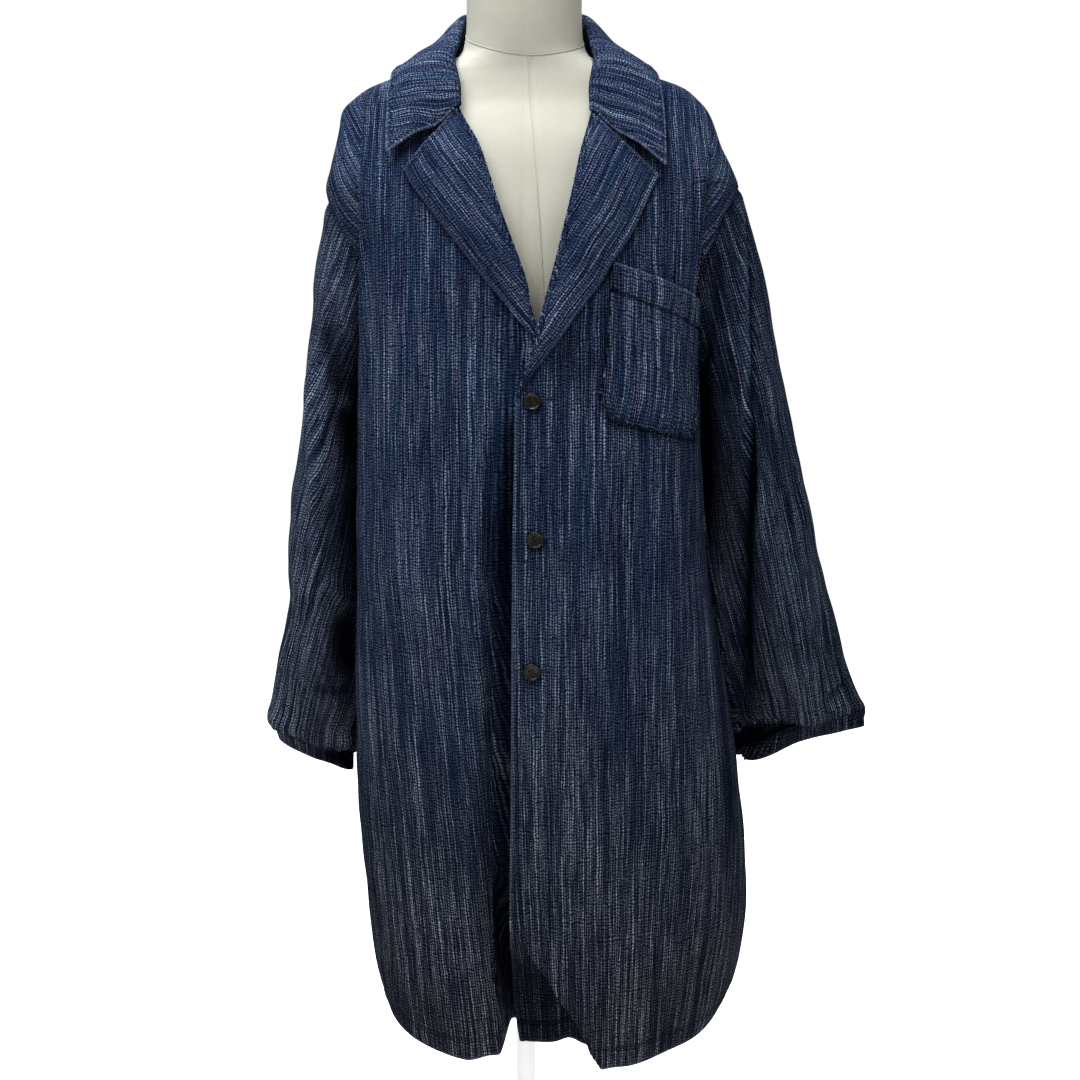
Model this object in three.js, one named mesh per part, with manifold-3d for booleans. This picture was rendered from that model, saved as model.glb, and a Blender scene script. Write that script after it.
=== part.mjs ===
// Kasuri cloth coat, buttoned, hanging on a limbless dress form that stands on a pole and a round base.
// Millimetres, +Z up. The origin is on the floor at the centre of the base's underside. The coat's front
// faces -Y, and the wearer's left side is +X. Every cloth piece is a thin wall: a grid of points on its
// outer face, and the same grid moved inwards by the cloth's thickness.
import * as THREE from "three";
import { mergeVertices } from "three/addons/utils/BufferGeometryUtils.js";
import Module from "manifold-3d";

// ---- driving dimensions -------------------------------------------------------------------------
const CLOTH = 2; // one layer of the crepe-like cloth
const DOUBLE = 2.8; // lapel and collar: two layers, pressed
const SEAM = 0.5; // gap between two pieces where they are sewn
const SEAT = 0.6; // from the left front's face to a button's back
const LAID = 0.7; // gap between a piece and the panel it lies on
const HEM_Z = 434;
const NAPE_RISE = 18; // how much higher the neckline is at the nape than at the shoulders
const DEG = Math.PI / 180;

// Horizontal sections of the body: half-widths to each side, depths to the front and back, and how
// square the outline is (2 is an ellipse).
const BODY = [
  { z: 434, left: 227, right: 158, front: 197, back: 200, square: 2.2 },
  { z: 464, left: 241, right: 168, front: 196, back: 200, square: 2.25 },
  { z: 500, left: 248, right: 174, front: 195, back: 199, square: 2.3 },
  { z: 545, left: 252, right: 178.5, front: 193, back: 198, square: 2.35 },
  { z: 612, left: 248, right: 184, front: 189, back: 195, square: 2.4 },
  { z: 690, left: 239.5, right: 188, front: 184, back: 190, square: 2.5 },
  { z: 750, left: 231, right: 188, front: 180, back: 186, square: 2.6 },
  { z: 840, left: 216, right: 186.5, front: 174, back: 179, square: 2.7 },
  { z: 900, left: 206, right: 184.5, front: 170, back: 174, square: 2.8 },
  { z: 1000, left: 195, right: 182, front: 162, back: 166, square: 2.9 },
  { z: 1080, left: 189, right: 180.5, front: 155, back: 159, square: 3 },
  { z: 1150, left: 188, right: 179, front: 148, back: 152, square: 3 },
  { z: 1210, left: 191, right: 179, front: 142, back: 146, square: 2.95 },
  { z: 1257, left: 203, right: 185, front: 136, back: 140, square: 2.8 },
  { z: 1290, left: 216, right: 200, front: 130, back: 135, square: 2.65 },
  { z: 1325, left: 229, right: 213.5, front: 120, back: 128, square: 2.45 },
  { z: 1349, left: 222, right: 208, front: 110, back: 122, square: 2.35 },
  { z: 1372, left: 210.5, right: 202, front: 98, back: 114, square: 2.2 },
  { z: 1392, left: 203, right: 197.5, front: 85, back: 106, square: 2.1 },
  { z: 1410, left: 194.5, right: 193, front: 73, back: 98, square: 2 },
  { z: 1422, left: 184, right: 181, front: 67, back: 93, square: 2 },
  { z: 1433, left: 170, right: 165.5, front: 63, back: 89, square: 2 },
  { z: 1444, left: 137, right: 135, front: 60.5, back: 84, square: 2 },
  { z: 1455, left: 103, right: 102, front: 59, back: 81, square: 2 },
  { z: 1464, left: 78, right: 78, front: 58, back: 79, square: 2 },
];

// Armholes, as ovals drawn on the body: height of the middle, half-height, half-angles to front and back.
const ARMHOLE = {
  left: { z: 1224.5, half: 104.5, front: 22, back: 27 },
  right: { z: 1218, half: 98, front: 22, back: 27 },
};

// Where each front's inner edge runs: the closure below the break, the roll line above it.
const EDGE_LEFT = [
  { z: 434, x: -4.5 },
  { z: 480, x: -10.8 },
  { z: 590, x: -13.6 },
  { z: 700, x: -12.3 },
  { z: 908, x: -10.7 },
  { z: 1060, x: -8.2 },
  { z: 1109, x: -6.1 },
  { z: 1138, x: 0.8 },
  { z: 1168, x: 7.8 },
  { z: 1187, x: 13.6 },
  { z: 1235, x: 26.4 },
  { z: 1274, x: 36.2 },
  { z: 1322, x: 47.5 },
  { z: 1355, x: 54.5 },
  { z: 1397, x: 66 },
  { z: 1430, x: 71 },
  { z: 1464, x: 76 },
];
const EDGE_RIGHT = [
  { z: 434, x: 24 },
  { z: 1100, x: 27 },
  { z: 1150, x: 24 },
  { z: 1189, x: 12.6 },
  { z: 1222, x: 6.7 },
  { z: 1241, x: 0.8 },
  { z: 1289, x: -17.2 },
  { z: 1342, x: -34.5 },
  { z: 1364, x: -42.5 },
  { z: 1402, x: -63 },
  { z: 1430, x: -69 },
  { z: 1464, x: -76 },
];

// Lapels: outer edge of the turned-back cloth at each height, from the break up to the notch.
const LAPEL_LEFT = [
  { z: 1121, x: 0 },
  { z: 1146, x: 17 },
  { z: 1171, x: 36.5 },
  { z: 1192, x: 51.5 },
  { z: 1224, x: 76 },
  { z: 1242, x: 86.5 },
  { z: 1270, x: 105 },
  { z: 1309, x: 124 },
  { z: 1330, x: 134.5 },
];
const LAPEL_RIGHT = [
  { z: 1158, x: 17 },
  { z: 1174, x: 6.8 },
  { z: 1204, x: -17.7 },
  { z: 1235, x: -44 },
  { z: 1258, x: -61.5 },
  { z: 1282, x: -81 },
  { z: 1302, x: -96.5 },
  { z: 1320, x: -110 },
  { z: 1337, x: -118.7 },
];
// The top edge of each lapel: from its tip, past the notch, along the gorge seam to the roll line.
const LAPEL_TOP = {
  left: { tip: [134.5, 1330], notch: [93, 1363.5], gorge: [65.5, 1395] },
  right: { tip: [-118.7, 1337], notch: [-82, 1375], gorge: [-62.5, 1401.5] },
};

// Sleeves: inner and outer points of each ring, and half the ring's depth across them.
const SLEEVE_LEFT = [
  { ix: 191, iy: 4, iz: 1108, ox: 245, oy: 2, oz: 1284, half: 76 },
  { ix: 191, iy: 4, iz: 1096, ox: 258, oy: 2, oz: 1236, half: 80 },
  { ix: 192, iy: 4, iz: 1076, ox: 267, oy: 2, oz: 1188, half: 82 },
  { ix: 193, iy: 4, iz: 1048, ox: 277, oy: 3, oz: 1138, half: 80 },
  { ix: 196, iy: 4, iz: 1014, ox: 288, oy: 4, oz: 1092, half: 76 },
  { ix: 200, iy: 3, iz: 970, ox: 302, oy: 6, oz: 1040, half: 71 },
  { ix: 206, iy: 2, iz: 922, ox: 317, oy: 8, oz: 984, half: 65 },
  { ix: 215, iy: -2, iz: 868, ox: 331, oy: 11, oz: 922, half: 57 },
  { ix: 226, iy: -10, iz: 812, ox: 350, oy: 15, oz: 860, half: 48 },
  { ix: 237, iy: -22, iz: 760, ox: 366, oy: 20, oz: 806, half: 39 },
  { ix: 242, iy: -34, iz: 724, ox: 385, oy: 24, oz: 760, half: 34 },
  { ix: 244, iy: -38, iz: 703, ox: 392, oy: 26, oz: 733, half: 31 },
];
const SLEEVE_RIGHT = [
  { ix: -182, iy: 4, iz: 1108, ox: -222, oy: 2, oz: 1266, half: 78 },
  { ix: -182, iy: 4, iz: 1092, ox: -228, oy: 2, oz: 1214, half: 84 },
  { ix: -183, iy: 4, iz: 1070, ox: -235, oy: 2, oz: 1158, half: 87 },
  { ix: -184, iy: 4, iz: 1038, ox: -242, oy: 3, oz: 1102, half: 86 },
  { ix: -185, iy: 2, iz: 1000, ox: -250, oy: 4, oz: 1046, half: 82 },
  { ix: -186, iy: 0, iz: 956, ox: -259, oy: 5, oz: 986, half: 76 },
  { ix: -188, iy: -4, iz: 908, ox: -263, oy: 6, oz: 928, half: 69 },
  { ix: -191, iy: -12, iz: 858, ox: -261, oy: 8, oz: 876, half: 60 },
  { ix: -194, iy: -26, iz: 806, ox: -270, oy: 12, oz: 824, half: 50 },
  { ix: -196, iy: -44, iz: 755, ox: -281, oy: 17, oz: 778, half: 40 },
  { ix: -196, iy: -56, iz: 722, ox: -289, oy: 20, oz: 750, half: 34 },
  { ix: -196, iy: -60, iz: 702, ox: -287, oy: 21, oz: 733, half: 30 },
];

// Collar stations from one front end round the neck to the other, each with the neck seam, the fold at
// the top and the free edge of the fall.
const COLLAR = [
  { seam: [-62.5, -77, 1403.5], top: [-61.5, -82, 1404], edge: [-136.5, -104, 1352], arch: 3 },
  { seam: [-67, -64, 1426], top: [-69, -70, 1429], edge: [-138, -80, 1386], arch: 5 },
  { seam: [-72, -50, 1448.5], top: [-76, -53, 1453], edge: [-138.5, -48, 1425], arch: 8 },
  { seam: [-75, -22, 1465], top: [-69, -25, 1474], edge: [-136, -10, 1449], arch: 7 },
  { seam: [-76, 8, 1466], top: [-66, 0, 1494], edge: [-126, 26, 1451], arch: 8 },
  { seam: [-66, 44, 1471], top: [-61.5, 38, 1516], edge: [-102, 64, 1454], arch: 14 },
  { seam: [-38, 70, 1480], top: [-34, 62, 1526], edge: [-58, 96, 1452], arch: 14 },
  { seam: [0, 80, 1484], top: [0, 70, 1529], edge: [0, 104, 1451], arch: 12 },
  { seam: [38, 70, 1480], top: [34, 62, 1526], edge: [58, 96, 1452], arch: 14 },
  { seam: [66, 44, 1471], top: [62, 38, 1516], edge: [102, 64, 1454], arch: 14 },
  { seam: [76, 8, 1466], top: [66, 0, 1494], edge: [126, 26, 1451], arch: 8 },
  { seam: [75, -22, 1465], top: [70, -28, 1473], edge: [136, -10, 1450], arch: 7 },
  { seam: [73, -50, 1448.5], top: [76, -55, 1453], edge: [140, -46, 1426], arch: 8 },
  { seam: [69, -65, 1424], top: [70, -72, 1427], edge: [143, -80, 1381], arch: 5 },
  { seam: [66, -81, 1398.5], top: [65, -86, 1399], edge: [141.5, -108, 1340], arch: 3 },
];
const COLLAR_NOTCH = { right: 10, left: 7.5 }; // how far the end edges dip where the notch is

// Soft vertical folds of the hanging cloth, pressed in (-) or standing out (+), growing towards the hem.
const BODY_FOLDS = [
  { angle: -128, width: 15, out: 9, from: 980 },
  { angle: -152, width: 13, out: -10, from: 900 },
  { angle: -174, width: 15, out: 8, from: 1020 },
  { angle: 162, width: 14, out: -9, from: 880 },
  { angle: 138, width: 15, out: 9, from: 960 },
  { angle: 112, width: 12, out: -8, from: 820 },
  { angle: -106, width: 11, out: -7, from: 800 },
  { angle: 52, width: 14, out: 5, from: 860 },
  { angle: 24, width: 11, out: 4, from: 760 },
];

// Dress form: the same kind of section as the body.
const FORM = [
  { z: 722, left: 140, right: 140, front: 96, back: 98, square: 2.3 },
  { z: 800, left: 152, right: 152, front: 106, back: 110, square: 2.3 },
  { z: 900, left: 143, right: 143, front: 100, back: 100, square: 2.3 },
  { z: 1010, left: 122, right: 122, front: 88, back: 84, square: 2.3 },
  { z: 1110, left: 134, right: 134, front: 102, back: 96, square: 2.3 },
  { z: 1200, left: 150, right: 150, front: 114, back: 110, square: 2.35 },
  { z: 1280, left: 162, right: 162, front: 110, back: 114, square: 2.4 },
  { z: 1340, left: 178, right: 178, front: 97, back: 110, square: 2.3 },
  { z: 1372, left: 186, right: 186, front: 86, back: 104, square: 2.15 },
  { z: 1394, left: 185, right: 185, front: 74, back: 97, square: 2.05 },
  { z: 1410, left: 179, right: 179, front: 64, back: 90, square: 2 },
  { z: 1422, left: 170, right: 170, front: 59, back: 85, square: 2 },
  { z: 1433, left: 156.6, right: 156.6, front: 56, back: 81, square: 2 },
  { z: 1444, left: 126, right: 126, front: 54, back: 76, square: 2 },
  { z: 1454, left: 93, right: 93, front: 54, back: 72, square: 2 },
  { z: 1464, left: 71, right: 71, front: 55, back: 69, square: 2 },
  { z: 1478, left: 63.5, right: 63.5, front: 57, back: 65, square: 2 },
  { z: 1500, left: 61, right: 61, front: 59, back: 62, square: 2 },
  { z: 1545, left: 61, right: 61, front: 60, back: 61, square: 2 },
];
const NECK_CAP = { radius: 62, thick: 14 };
const POLE = { radius: 11, foot: 15 };
const BASE = { radius: 180, thick: 16, hub: 26, hubTop: 42 };

const BUTTON = { radius: 8.6, thick: 3.2, rim: 1.5, dish: 0.8, hole: 0.9, holeOut: 2.1 };
const BUTTONS = [
  { z: 1107.5, x: 8.7 },
  { z: 971.5, x: 11.7 },
  { z: 840, x: 8.6 },
];
const POCKET = {
  topIn: [89, 1242.5],
  topOut: [177.5, 1207],
  lowOut: [178, 1066],
  lowIn: [76.5, 1090],
  round: 15,
};

// ---- shape helpers ------------------------------------------------------------------------------
const smooth = (t) => {
  const s = Math.min(1, Math.max(0, t));
  return s * s * (3 - 2 * s);
};
const mix = (a, b, t) => a + (b - a) * t;
const bell = (t) => Math.exp(-t * t);

// The value of one column of a table at height z, on a smooth curve through the rows.
function at(table, column, z) {
  const last = table.length - 1;
  let i = 0;
  while (i < last - 1 && table[i + 1].z < z) i++;
  const slope = (k) => {
    const a = table[Math.max(0, k - 1)];
    const b = table[Math.min(last, k + 1)];
    return (b[column] - a[column]) / (b.z - a.z);
  };
  const [p, q] = [table[i], table[i + 1]];
  const span = q.z - p.z;
  const t = Math.min(1, Math.max(0, (z - p.z) / span));
  const [t2, t3] = [t * t, t * t * t];
  return (
    (2 * t3 - 3 * t2 + 1) * p[column] +
    (t3 - 2 * t2 + t) * span * slope(i) +
    (3 * t2 - 2 * t3) * q[column] +
    (t3 - t2) * span * slope(i + 1)
  );
}

// Distance from the axis to a section's outline in direction angle (0 is the front, + towards +X).
function reach(table, z, angle) {
  const [s, c] = [Math.sin(angle), Math.cos(angle)];
  const n = at(table, "square", z);
  const wide = at(table, s > 0 ? "left" : "right", z);
  const deep = at(table, c > 0 ? "front" : "back", z);
  return (Math.abs(s / wide) ** n + Math.abs(c / deep) ** n) ** (-1 / n);
}

// The direction in which the front of the body passes through x at height z.
function angleOf(x, z) {
  const n = at(BODY, "square", z);
  const wide = at(BODY, x > 0 ? "left" : "right", z);
  const deep = at(BODY, "front", z) * (1 - Math.min(0.999, Math.abs(x) / wide) ** n) ** (1 / n);
  return Math.atan2(x, deep);
}

const foldAt = (angle, z) =>
  BODY_FOLDS.reduce((sum, f) => {
    const turn = Math.atan2(Math.sin(angle - f.angle * DEG), Math.cos(angle - f.angle * DEG));
    return sum + f.out * bell(turn / (f.width * DEG)) * smooth((f.from - z) / (f.from - HEM_Z));
  }, 0);

// A point of the body's outer face, moved out by the folds. The rows near the neck rise towards the nape.
function body(angle, z) {
  const r = reach(BODY, z, angle) + foldAt(angle, z);
  const nape = Math.max(0, -Math.cos(angle)) ** 2 * smooth((z - 1390) / 74);
  return [r * Math.sin(angle), -r * Math.cos(angle), z + NAPE_RISE * nape];
}

// ---- how the two fronts lie ---------------------------------------------------------------------
// The left front lies on the right one. Below a slanting fold its lower corner swings back, and the
// cloth beside the fold swells forward.
function leftFront(angle, z) {
  const [x, y] = body(angle, z);
  const foldX = -12 + 0.776 * (550 - z);
  const corner = smooth((556 - z) / 90) * (1 - smooth((x - foldX + 17) / 25));
  const swell = 17 * smooth((650 - z) / 200) * bell((x - 98) / 62);
  const closed = 2 * (1 - smooth((x - 50) / 70));
  const overLapel = 5.6 * bell((z - 1172) / 42) * (1 - smooth((x - 25) / 70));
  return [x, y + 52 * corner - swell - closed - overLapel, z];
}
// Beside the closing edge the right front dips into a long valley, and its lower corner curls far back.
function rightFront(angle, z) {
  const [x, y] = body(angle, z);
  const tucked = 1.6 * smooth((x + 46) / 34);
  const valley = 6 * bell((x + 14) / 20) * smooth((1130 - z) / 200);
  const curl = 95 * smooth((640 - z) / 190) * smooth((x + 35) / 24);
  return [x, y + tucked + valley + curl, z];
}
const onLeft = (x, z, lift) => lifted(leftFront, x, z, lift);
const onRight = (x, z, lift) => lifted(rightFront, x, z, lift);
function lifted(front, x, z, lift) {
  const point = front(angleOf(x, z), z);
  return moved(point, normalOf((dx, dz) => front(angleOf(x + dx, z + dz), z + dz)), lift);
}
function normalOf(near) {
  const step = 1.5;
  const a = new THREE.Vector3(...near(step, 0)).sub(new THREE.Vector3(...near(-step, 0)));
  const b = new THREE.Vector3(...near(0, step)).sub(new THREE.Vector3(...near(0, -step)));
  return a.cross(b).normalize();
}
const moved = (p, n, d) => [p[0] + n.x * d, p[1] + n.y * d, p[2] + n.z * d];

// Half-angle of the armhole's opening at height z, towards the front or the back.
function opening(side, part, z, shrink = 0) {
  const a = ARMHOLE[side];
  const t = (z - a.z) / (a.half - shrink);
  return Math.abs(t) < 1 ? a[part] * DEG * Math.sqrt(1 - t * t) : 0;
}

// ---- solids from grids --------------------------------------------------------------------------
function geometryOf(points, triangles) {
  const geometry = new THREE.BufferGeometry();
  geometry.setAttribute("position", new THREE.Float32BufferAttribute(points.flat(), 3));
  geometry.setIndex(triangles.flat());
  return geometry;
}

// A closed wall whose outer face is the grid and whose inner face lies thick behind it. Rows run up, and
// columns run so that (along the row) x (up the rows) points outwards.
function wall(grid, thick, round = false) {
  const [rows, cols] = [grid.length, grid[0].length];
  const last = rows - 1;
  const wrap = (j) => (round ? (j + cols) % cols : Math.min(cols - 1, Math.max(0, j)));
  const get = (i, j) => new THREE.Vector3(...grid[Math.min(last, Math.max(0, i))][wrap(j)]);
  // The slope at index k of n, by central differences, or by the next two points at an end.
  const slope = (point, k, n) => {
    if (k > 0 && k < n) return point(k + 1).sub(point(k - 1));
    const s = k ? -1 : 1;
    const near = point(k + s).multiplyScalar(4);
    return near.addScaledVector(point(k), -3).sub(point(k + 2 * s)).multiplyScalar(s);
  };
  const inner = grid.map((row, i) =>
    row.map((p, j) => {
      const along = round ? get(i, j + 1).sub(get(i, j - 1)) : slope((k) => get(i, k), j, cols - 1);
      const up = slope((k) => get(k, j), i, last);
      return moved(p, along.cross(up).normalize(), -thick);
    }),
  );
  const points = [...grid.flat(), ...inner.flat()];
  const size = rows * cols;
  const id = (i, j, face) => face * size + i * cols + wrap(j);
  const triangles = [];
  const quad = (a, b, c, d) => triangles.push([a, b, c], [a, c, d]);
  const across = round ? cols : cols - 1;
  for (let i = 0; i < last; i++)
    for (let j = 0; j < across; j++) {
      // Each cell is cut along its shorter diagonal, so that the facets follow the folds.
      const rising = get(i, j).distanceTo(get(i + 1, j + 1)) < get(i, j + 1).distanceTo(get(i + 1, j));
      const cell = [[i, j], [i, j + 1], [i + 1, j + 1], [i + 1, j]];
      const turned = rising ? cell : [...cell.slice(1), cell[0]];
      quad(...turned.map(([r, c]) => id(r, c, 0)));
      quad(...[turned[0], turned[3], turned[2], turned[1]].map(([r, c]) => id(r, c, 1)));
    }
  for (let j = 0; j < across; j++) {
    quad(id(0, j, 1), id(0, j + 1, 1), id(0, j + 1, 0), id(0, j, 0));
    quad(id(last, j, 0), id(last, j + 1, 0), id(last, j + 1, 1), id(last, j, 1));
  }
  if (!round)
    for (let i = 0; i < last; i++) {
      quad(id(i, 0, 0), id(i + 1, 0, 0), id(i + 1, 0, 1), id(i, 0, 1));
      quad(id(i, cols - 1, 1), id(i + 1, cols - 1, 1), id(i + 1, cols - 1, 0), id(i, cols - 1, 0));
    }
  return geometryOf(points, triangles);
}

const steps = (n, f) => Array.from({ length: n + 1 }, (_, i) => f(i / n));
// Heights from the hem to the neck, closer together where the outline turns quickly. Some are the ends
// of the armholes.
const HEIGHTS = [
  ...[434, 448, 464, 484, 506, 530, 560, 600, 655, 720, 790, 865, 940, 1015, 1075, 1120],
  ...[1132, 1150, 1172, 1196, 1222, 1250, 1274, 1294, 1308, 1316, 1329],
  ...[1350, 1372, 1392, 1404, 1414, 1424, 1434, 1444, 1454, 1464],
];

// ---- the coat's pieces --------------------------------------------------------------------------
function frontPanel(side) {
  const left = side === "left";
  const sign = left ? 1 : -1;
  const front = left ? leftFront : rightFront;
  const edge = left ? EDGE_LEFT : EDGE_RIGHT;
  const columns = 14;
  const grid = HEIGHTS.map((z) => {
    const gap = SEAM / 2 / reach(BODY, z, sign * 90 * DEG);
    const outer = sign * (90 * DEG - gap - opening(side, "front", z));
    const inner = angleOf(at(edge, "x", z), z);
    // The columns crowd towards the closing edge, where the small folds are.
    return steps(columns, (t) => front(mix(inner, outer, t ** 1.25), z));
  });
  return wall(left ? grid : grid.map((row) => row.reverse()), CLOTH);
}

function backPanel() {
  const columns = 17;
  const grid = HEIGHTS.map((z) => {
    const gap = SEAM / 2 / reach(BODY, z, 90 * DEG);
    const from = 90 * DEG + gap + opening("left", "back", z);
    const to = 270 * DEG - gap - opening("right", "back", z);
    return steps(columns, (t) => body(mix(from, to, t), z));
  });
  return wall(grid, CLOTH);
}

// Turns round the sleeve, from the top of the armhole over the front: one for each of the panels' rows.
function armholeTurns(side) {
  const { z, half } = ARMHOLE[side];
  const down = HEIGHTS.map((h) => (h - z) / half).filter((t) => Math.abs(t) <= 1);
  const front = down.reverse().map(Math.acos);
  const back = front.slice(1, -1).map((turn) => 2 * Math.PI - turn);
  return [...front, ...back.reverse()];
}
// The sleeve's first ring follows the armhole, a seam's gap inside it.
function armholeRing(side, turns) {
  const sign = side === "left" ? 1 : -1;
  const { z, half } = ARMHOLE[side];
  return turns.map((turn) => {
    const height = z + (half - SEAM) * Math.cos(turn);
    const part = Math.sin(turn) > 0 ? "front" : "back";
    const a = opening(side, part, height, SEAM) - SEAM / reach(BODY, height, 90 * DEG);
    return body(sign * (90 * DEG - Math.sign(Math.sin(turn)) * Math.max(0, a)), height);
  });
}

const SLEEVE_FOLDS = {
  left: [
    { turn: 128, width: 17, out: -17, from: 0.12, to: 0.93, lean: -16 },
    { turn: 96, width: 16, out: 6, from: 0.1, to: 0.95, lean: -10 },
    { turn: 250, width: 22, out: -9, from: 0.25, to: 0.95, lean: 12 },
  ],
  right: [
    { turn: 118, width: 18, out: -9, from: 0.1, to: 0.6, lean: -40 },
    { turn: 70, width: 18, out: 6, from: 0.25, to: 0.85, lean: -20 },
    { turn: 240, width: 24, out: -9, from: 0.3, to: 0.95, lean: 14 },
  ],
};

function sleeve(side) {
  const sign = side === "left" ? 1 : -1;
  const stations = side === "left" ? SLEEVE_LEFT : SLEEVE_RIGHT;
  const turns = armholeTurns(side);
  const columns = turns.length;
  const first = armholeRing(side, turns);
  const middle = (s) => new THREE.Vector3((s.ix + s.ox) / 2, (s.iy + s.oy) / 2, (s.iz + s.oz) / 2);
  const top = first[0];
  const low = first[columns / 2];
  const rings = stations.map((s, k) => {
    const before = middle(stations[Math.max(0, k - 1)]);
    const after = middle(stations[Math.min(stations.length - 1, k + 1)]);
    const out = new THREE.Vector3(s.ox - s.ix, s.oy - s.iy, s.oz - s.iz).multiplyScalar(0.5);
    const front = after.sub(before).cross(out).normalize().multiplyScalar(sign * s.half);
    const share = (k + 1) / stations.length;
    return turns.map((turn, j) => {
      const fold = SLEEVE_FOLDS[side].reduce((sum, f) => {
        const crease = (f.turn + f.lean * share) * DEG;
        const grow = smooth((share - f.from) / 0.18) * smooth((f.to - share) / 0.1 + 0.4);
        const off = Math.atan2(Math.sin(turn - crease), Math.cos(turn - crease));
        return sum + f.out * grow * bell(off / (f.width * DEG));
      }, 0);
      const size = 1 + fold / Math.hypot(out.length() * Math.cos(turn), s.half * Math.sin(turn));
      const p = middle(s)
        .addScaledVector(out, size * Math.cos(turn))
        .addScaledVector(front, size * Math.sin(turn));
      // The rings next to the armhole keep some of its saddle shape.
      const keep = [0.5, 0.2][k] ?? 0;
      const oval = [0, 1, 2].map(
        (n) => mix(low[n], top[n], (1 + Math.cos(turn)) / 2) - (n === 1 ? s.half * 0.9 * Math.sin(turn) : 0),
      );
      return [0, 1, 2].map((n) => p.getComponent(n) + keep * (first[j][n] - oval[n]));
    });
  });
  const grid = [first, ...rings].map((ring) => (sign > 0 ? ring : [ring[0], ...ring.slice(1).reverse()]));
  return wall(grid, CLOTH, true);
}

// A lapel lies on its front: rows run up, columns run from the roll line to the outer edge.
function lapel(side) {
  const left = side === "left";
  const [roll, outer] = left ? [EDGE_LEFT, LAPEL_LEFT] : [EDGE_RIGHT, LAPEL_RIGHT];
  const on = left ? onLeft : onRight;
  const { tip, notch, gorge } = LAPEL_TOP[side];
  const rowsUp = 11;
  const columns = 5;
  const bottom = outer[0].z;
  const notchShare = (notch[0] - gorge[0]) / (tip[0] - gorge[0]);
  const notchDip = notch[1] - mix(gorge[1], tip[1], notchShare);
  const grid = steps(rowsUp, (t) => {
    const s = 1 - (1 - t) ** 1.15;
    const rollZ = mix(bottom, gorge[1], s);
    const edgeZ = mix(bottom, tip[1], s);
    const rollX = at(roll, "x", rollZ) + (left ? 0.4 : -0.4);
    const edgeX = at(outer, "x", edgeZ);
    return steps(columns, (w) => {
      const bow = notchDip * smooth(s * 4 - 3) * Math.min(w / notchShare, (1 - w) / (1 - notchShare));
      const lift = LAID + DOUBLE + 3.2 * Math.sin(Math.PI * Math.min(1, w * 1.1)) * smooth(s * 3);
      return on(mix(rollX, edgeX, w), mix(rollZ, edgeZ, w) + bow, lift);
    });
  });
  return wall(left ? grid : grid.map((row) => row.reverse()), DOUBLE);
}

// The collar: a folded strip. Each section goes from the seam up the stand, over the fold and down the fall.
function collar() {
  const columns = 24;
  const count = COLLAR.length - 1;
  const rows = COLLAR.map(({ seam, top, edge, arch }, z) => ({ z, ...[...seam, ...top, ...edge, arch] }));
  const column = (first, k) => new THREE.Vector3(...[0, 1, 2].map((n) => at(rows, first + n, k)));
  const up = new THREE.Vector3(0, 0, 1);
  const section = (t) => {
    const k = t * count;
    const [seam, top, edge, arch] = [column(0, k), column(3, k), column(6, k), at(rows, 9, k)];
    const out = edge.clone().sub(top);
    const dip = COLLAR_NOTCH.right * bell(k / 0.7) + COLLAR_NOTCH.left * bell((count - k) / 0.7);
    const stand = (w) => seam.clone().lerp(top, w);
    const fall = (w) => {
      const rise = arch * 0.9 * Math.sin(Math.PI * w ** 0.8) - dip * bell((w - 0.3) / 0.22);
      return top.clone().addScaledVector(out, w).addScaledVector(up, rise + 0.8 * (1 - w));
    };
    return [stand(0), stand(0.55), stand(1), ...[0.1, 0.26, 0.45, 0.64, 0.82, 1].map(fall)];
  };
  const grid = steps(columns, section);
  // Turn the table so that rows run from the seam to the free edge and the outer face points away.
  const strips = grid[0].map((_, i) => grid.map((line) => line[i].toArray()));
  return wall(strips.map((row) => row.reverse()), DOUBLE);
}

function pocket() {
  const { topIn, topOut, lowOut, lowIn, round } = POCKET;
  const [inTop, outTop, outLow, inLow] = [topIn, topOut, lowOut, lowIn].map(([x, z]) => angleOf(x, z));
  const grid = steps(8, (t) =>
    steps(8, (u) => {
      const corner = round * Math.max(0, 1 - 4 * t) ** 2 * Math.abs(2 * u - 1) ** 6;
      const angle = mix(mix(inLow, outLow, u), mix(inTop, outTop, u), t);
      const z = mix(mix(lowIn[1], lowOut[1], u), mix(topIn[1], topOut[1], u), t) + corner;
      const near = (dx, dz) => leftFront(angle + dx / 150, z + dz);
      return moved(near(0, 0), normalOf(near), LAID + CLOTH);
    }),
  );
  return wall(grid, CLOTH);
}

const wasm = await Module();
wasm.setup();

function toManifold(geometry) {
  const bare = geometry.index ? geometry.toNonIndexed() : geometry.clone();
  bare.deleteAttribute("normal");
  bare.deleteAttribute("uv");
  const merged = mergeVertices(bare, 1e-4);
  return new wasm.Manifold(
    new wasm.Mesh({
      numProp: 3,
      vertProperties: merged.attributes.position.array,
      triVerts: new Uint32Array(merged.index.array),
    }),
  );
}

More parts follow.
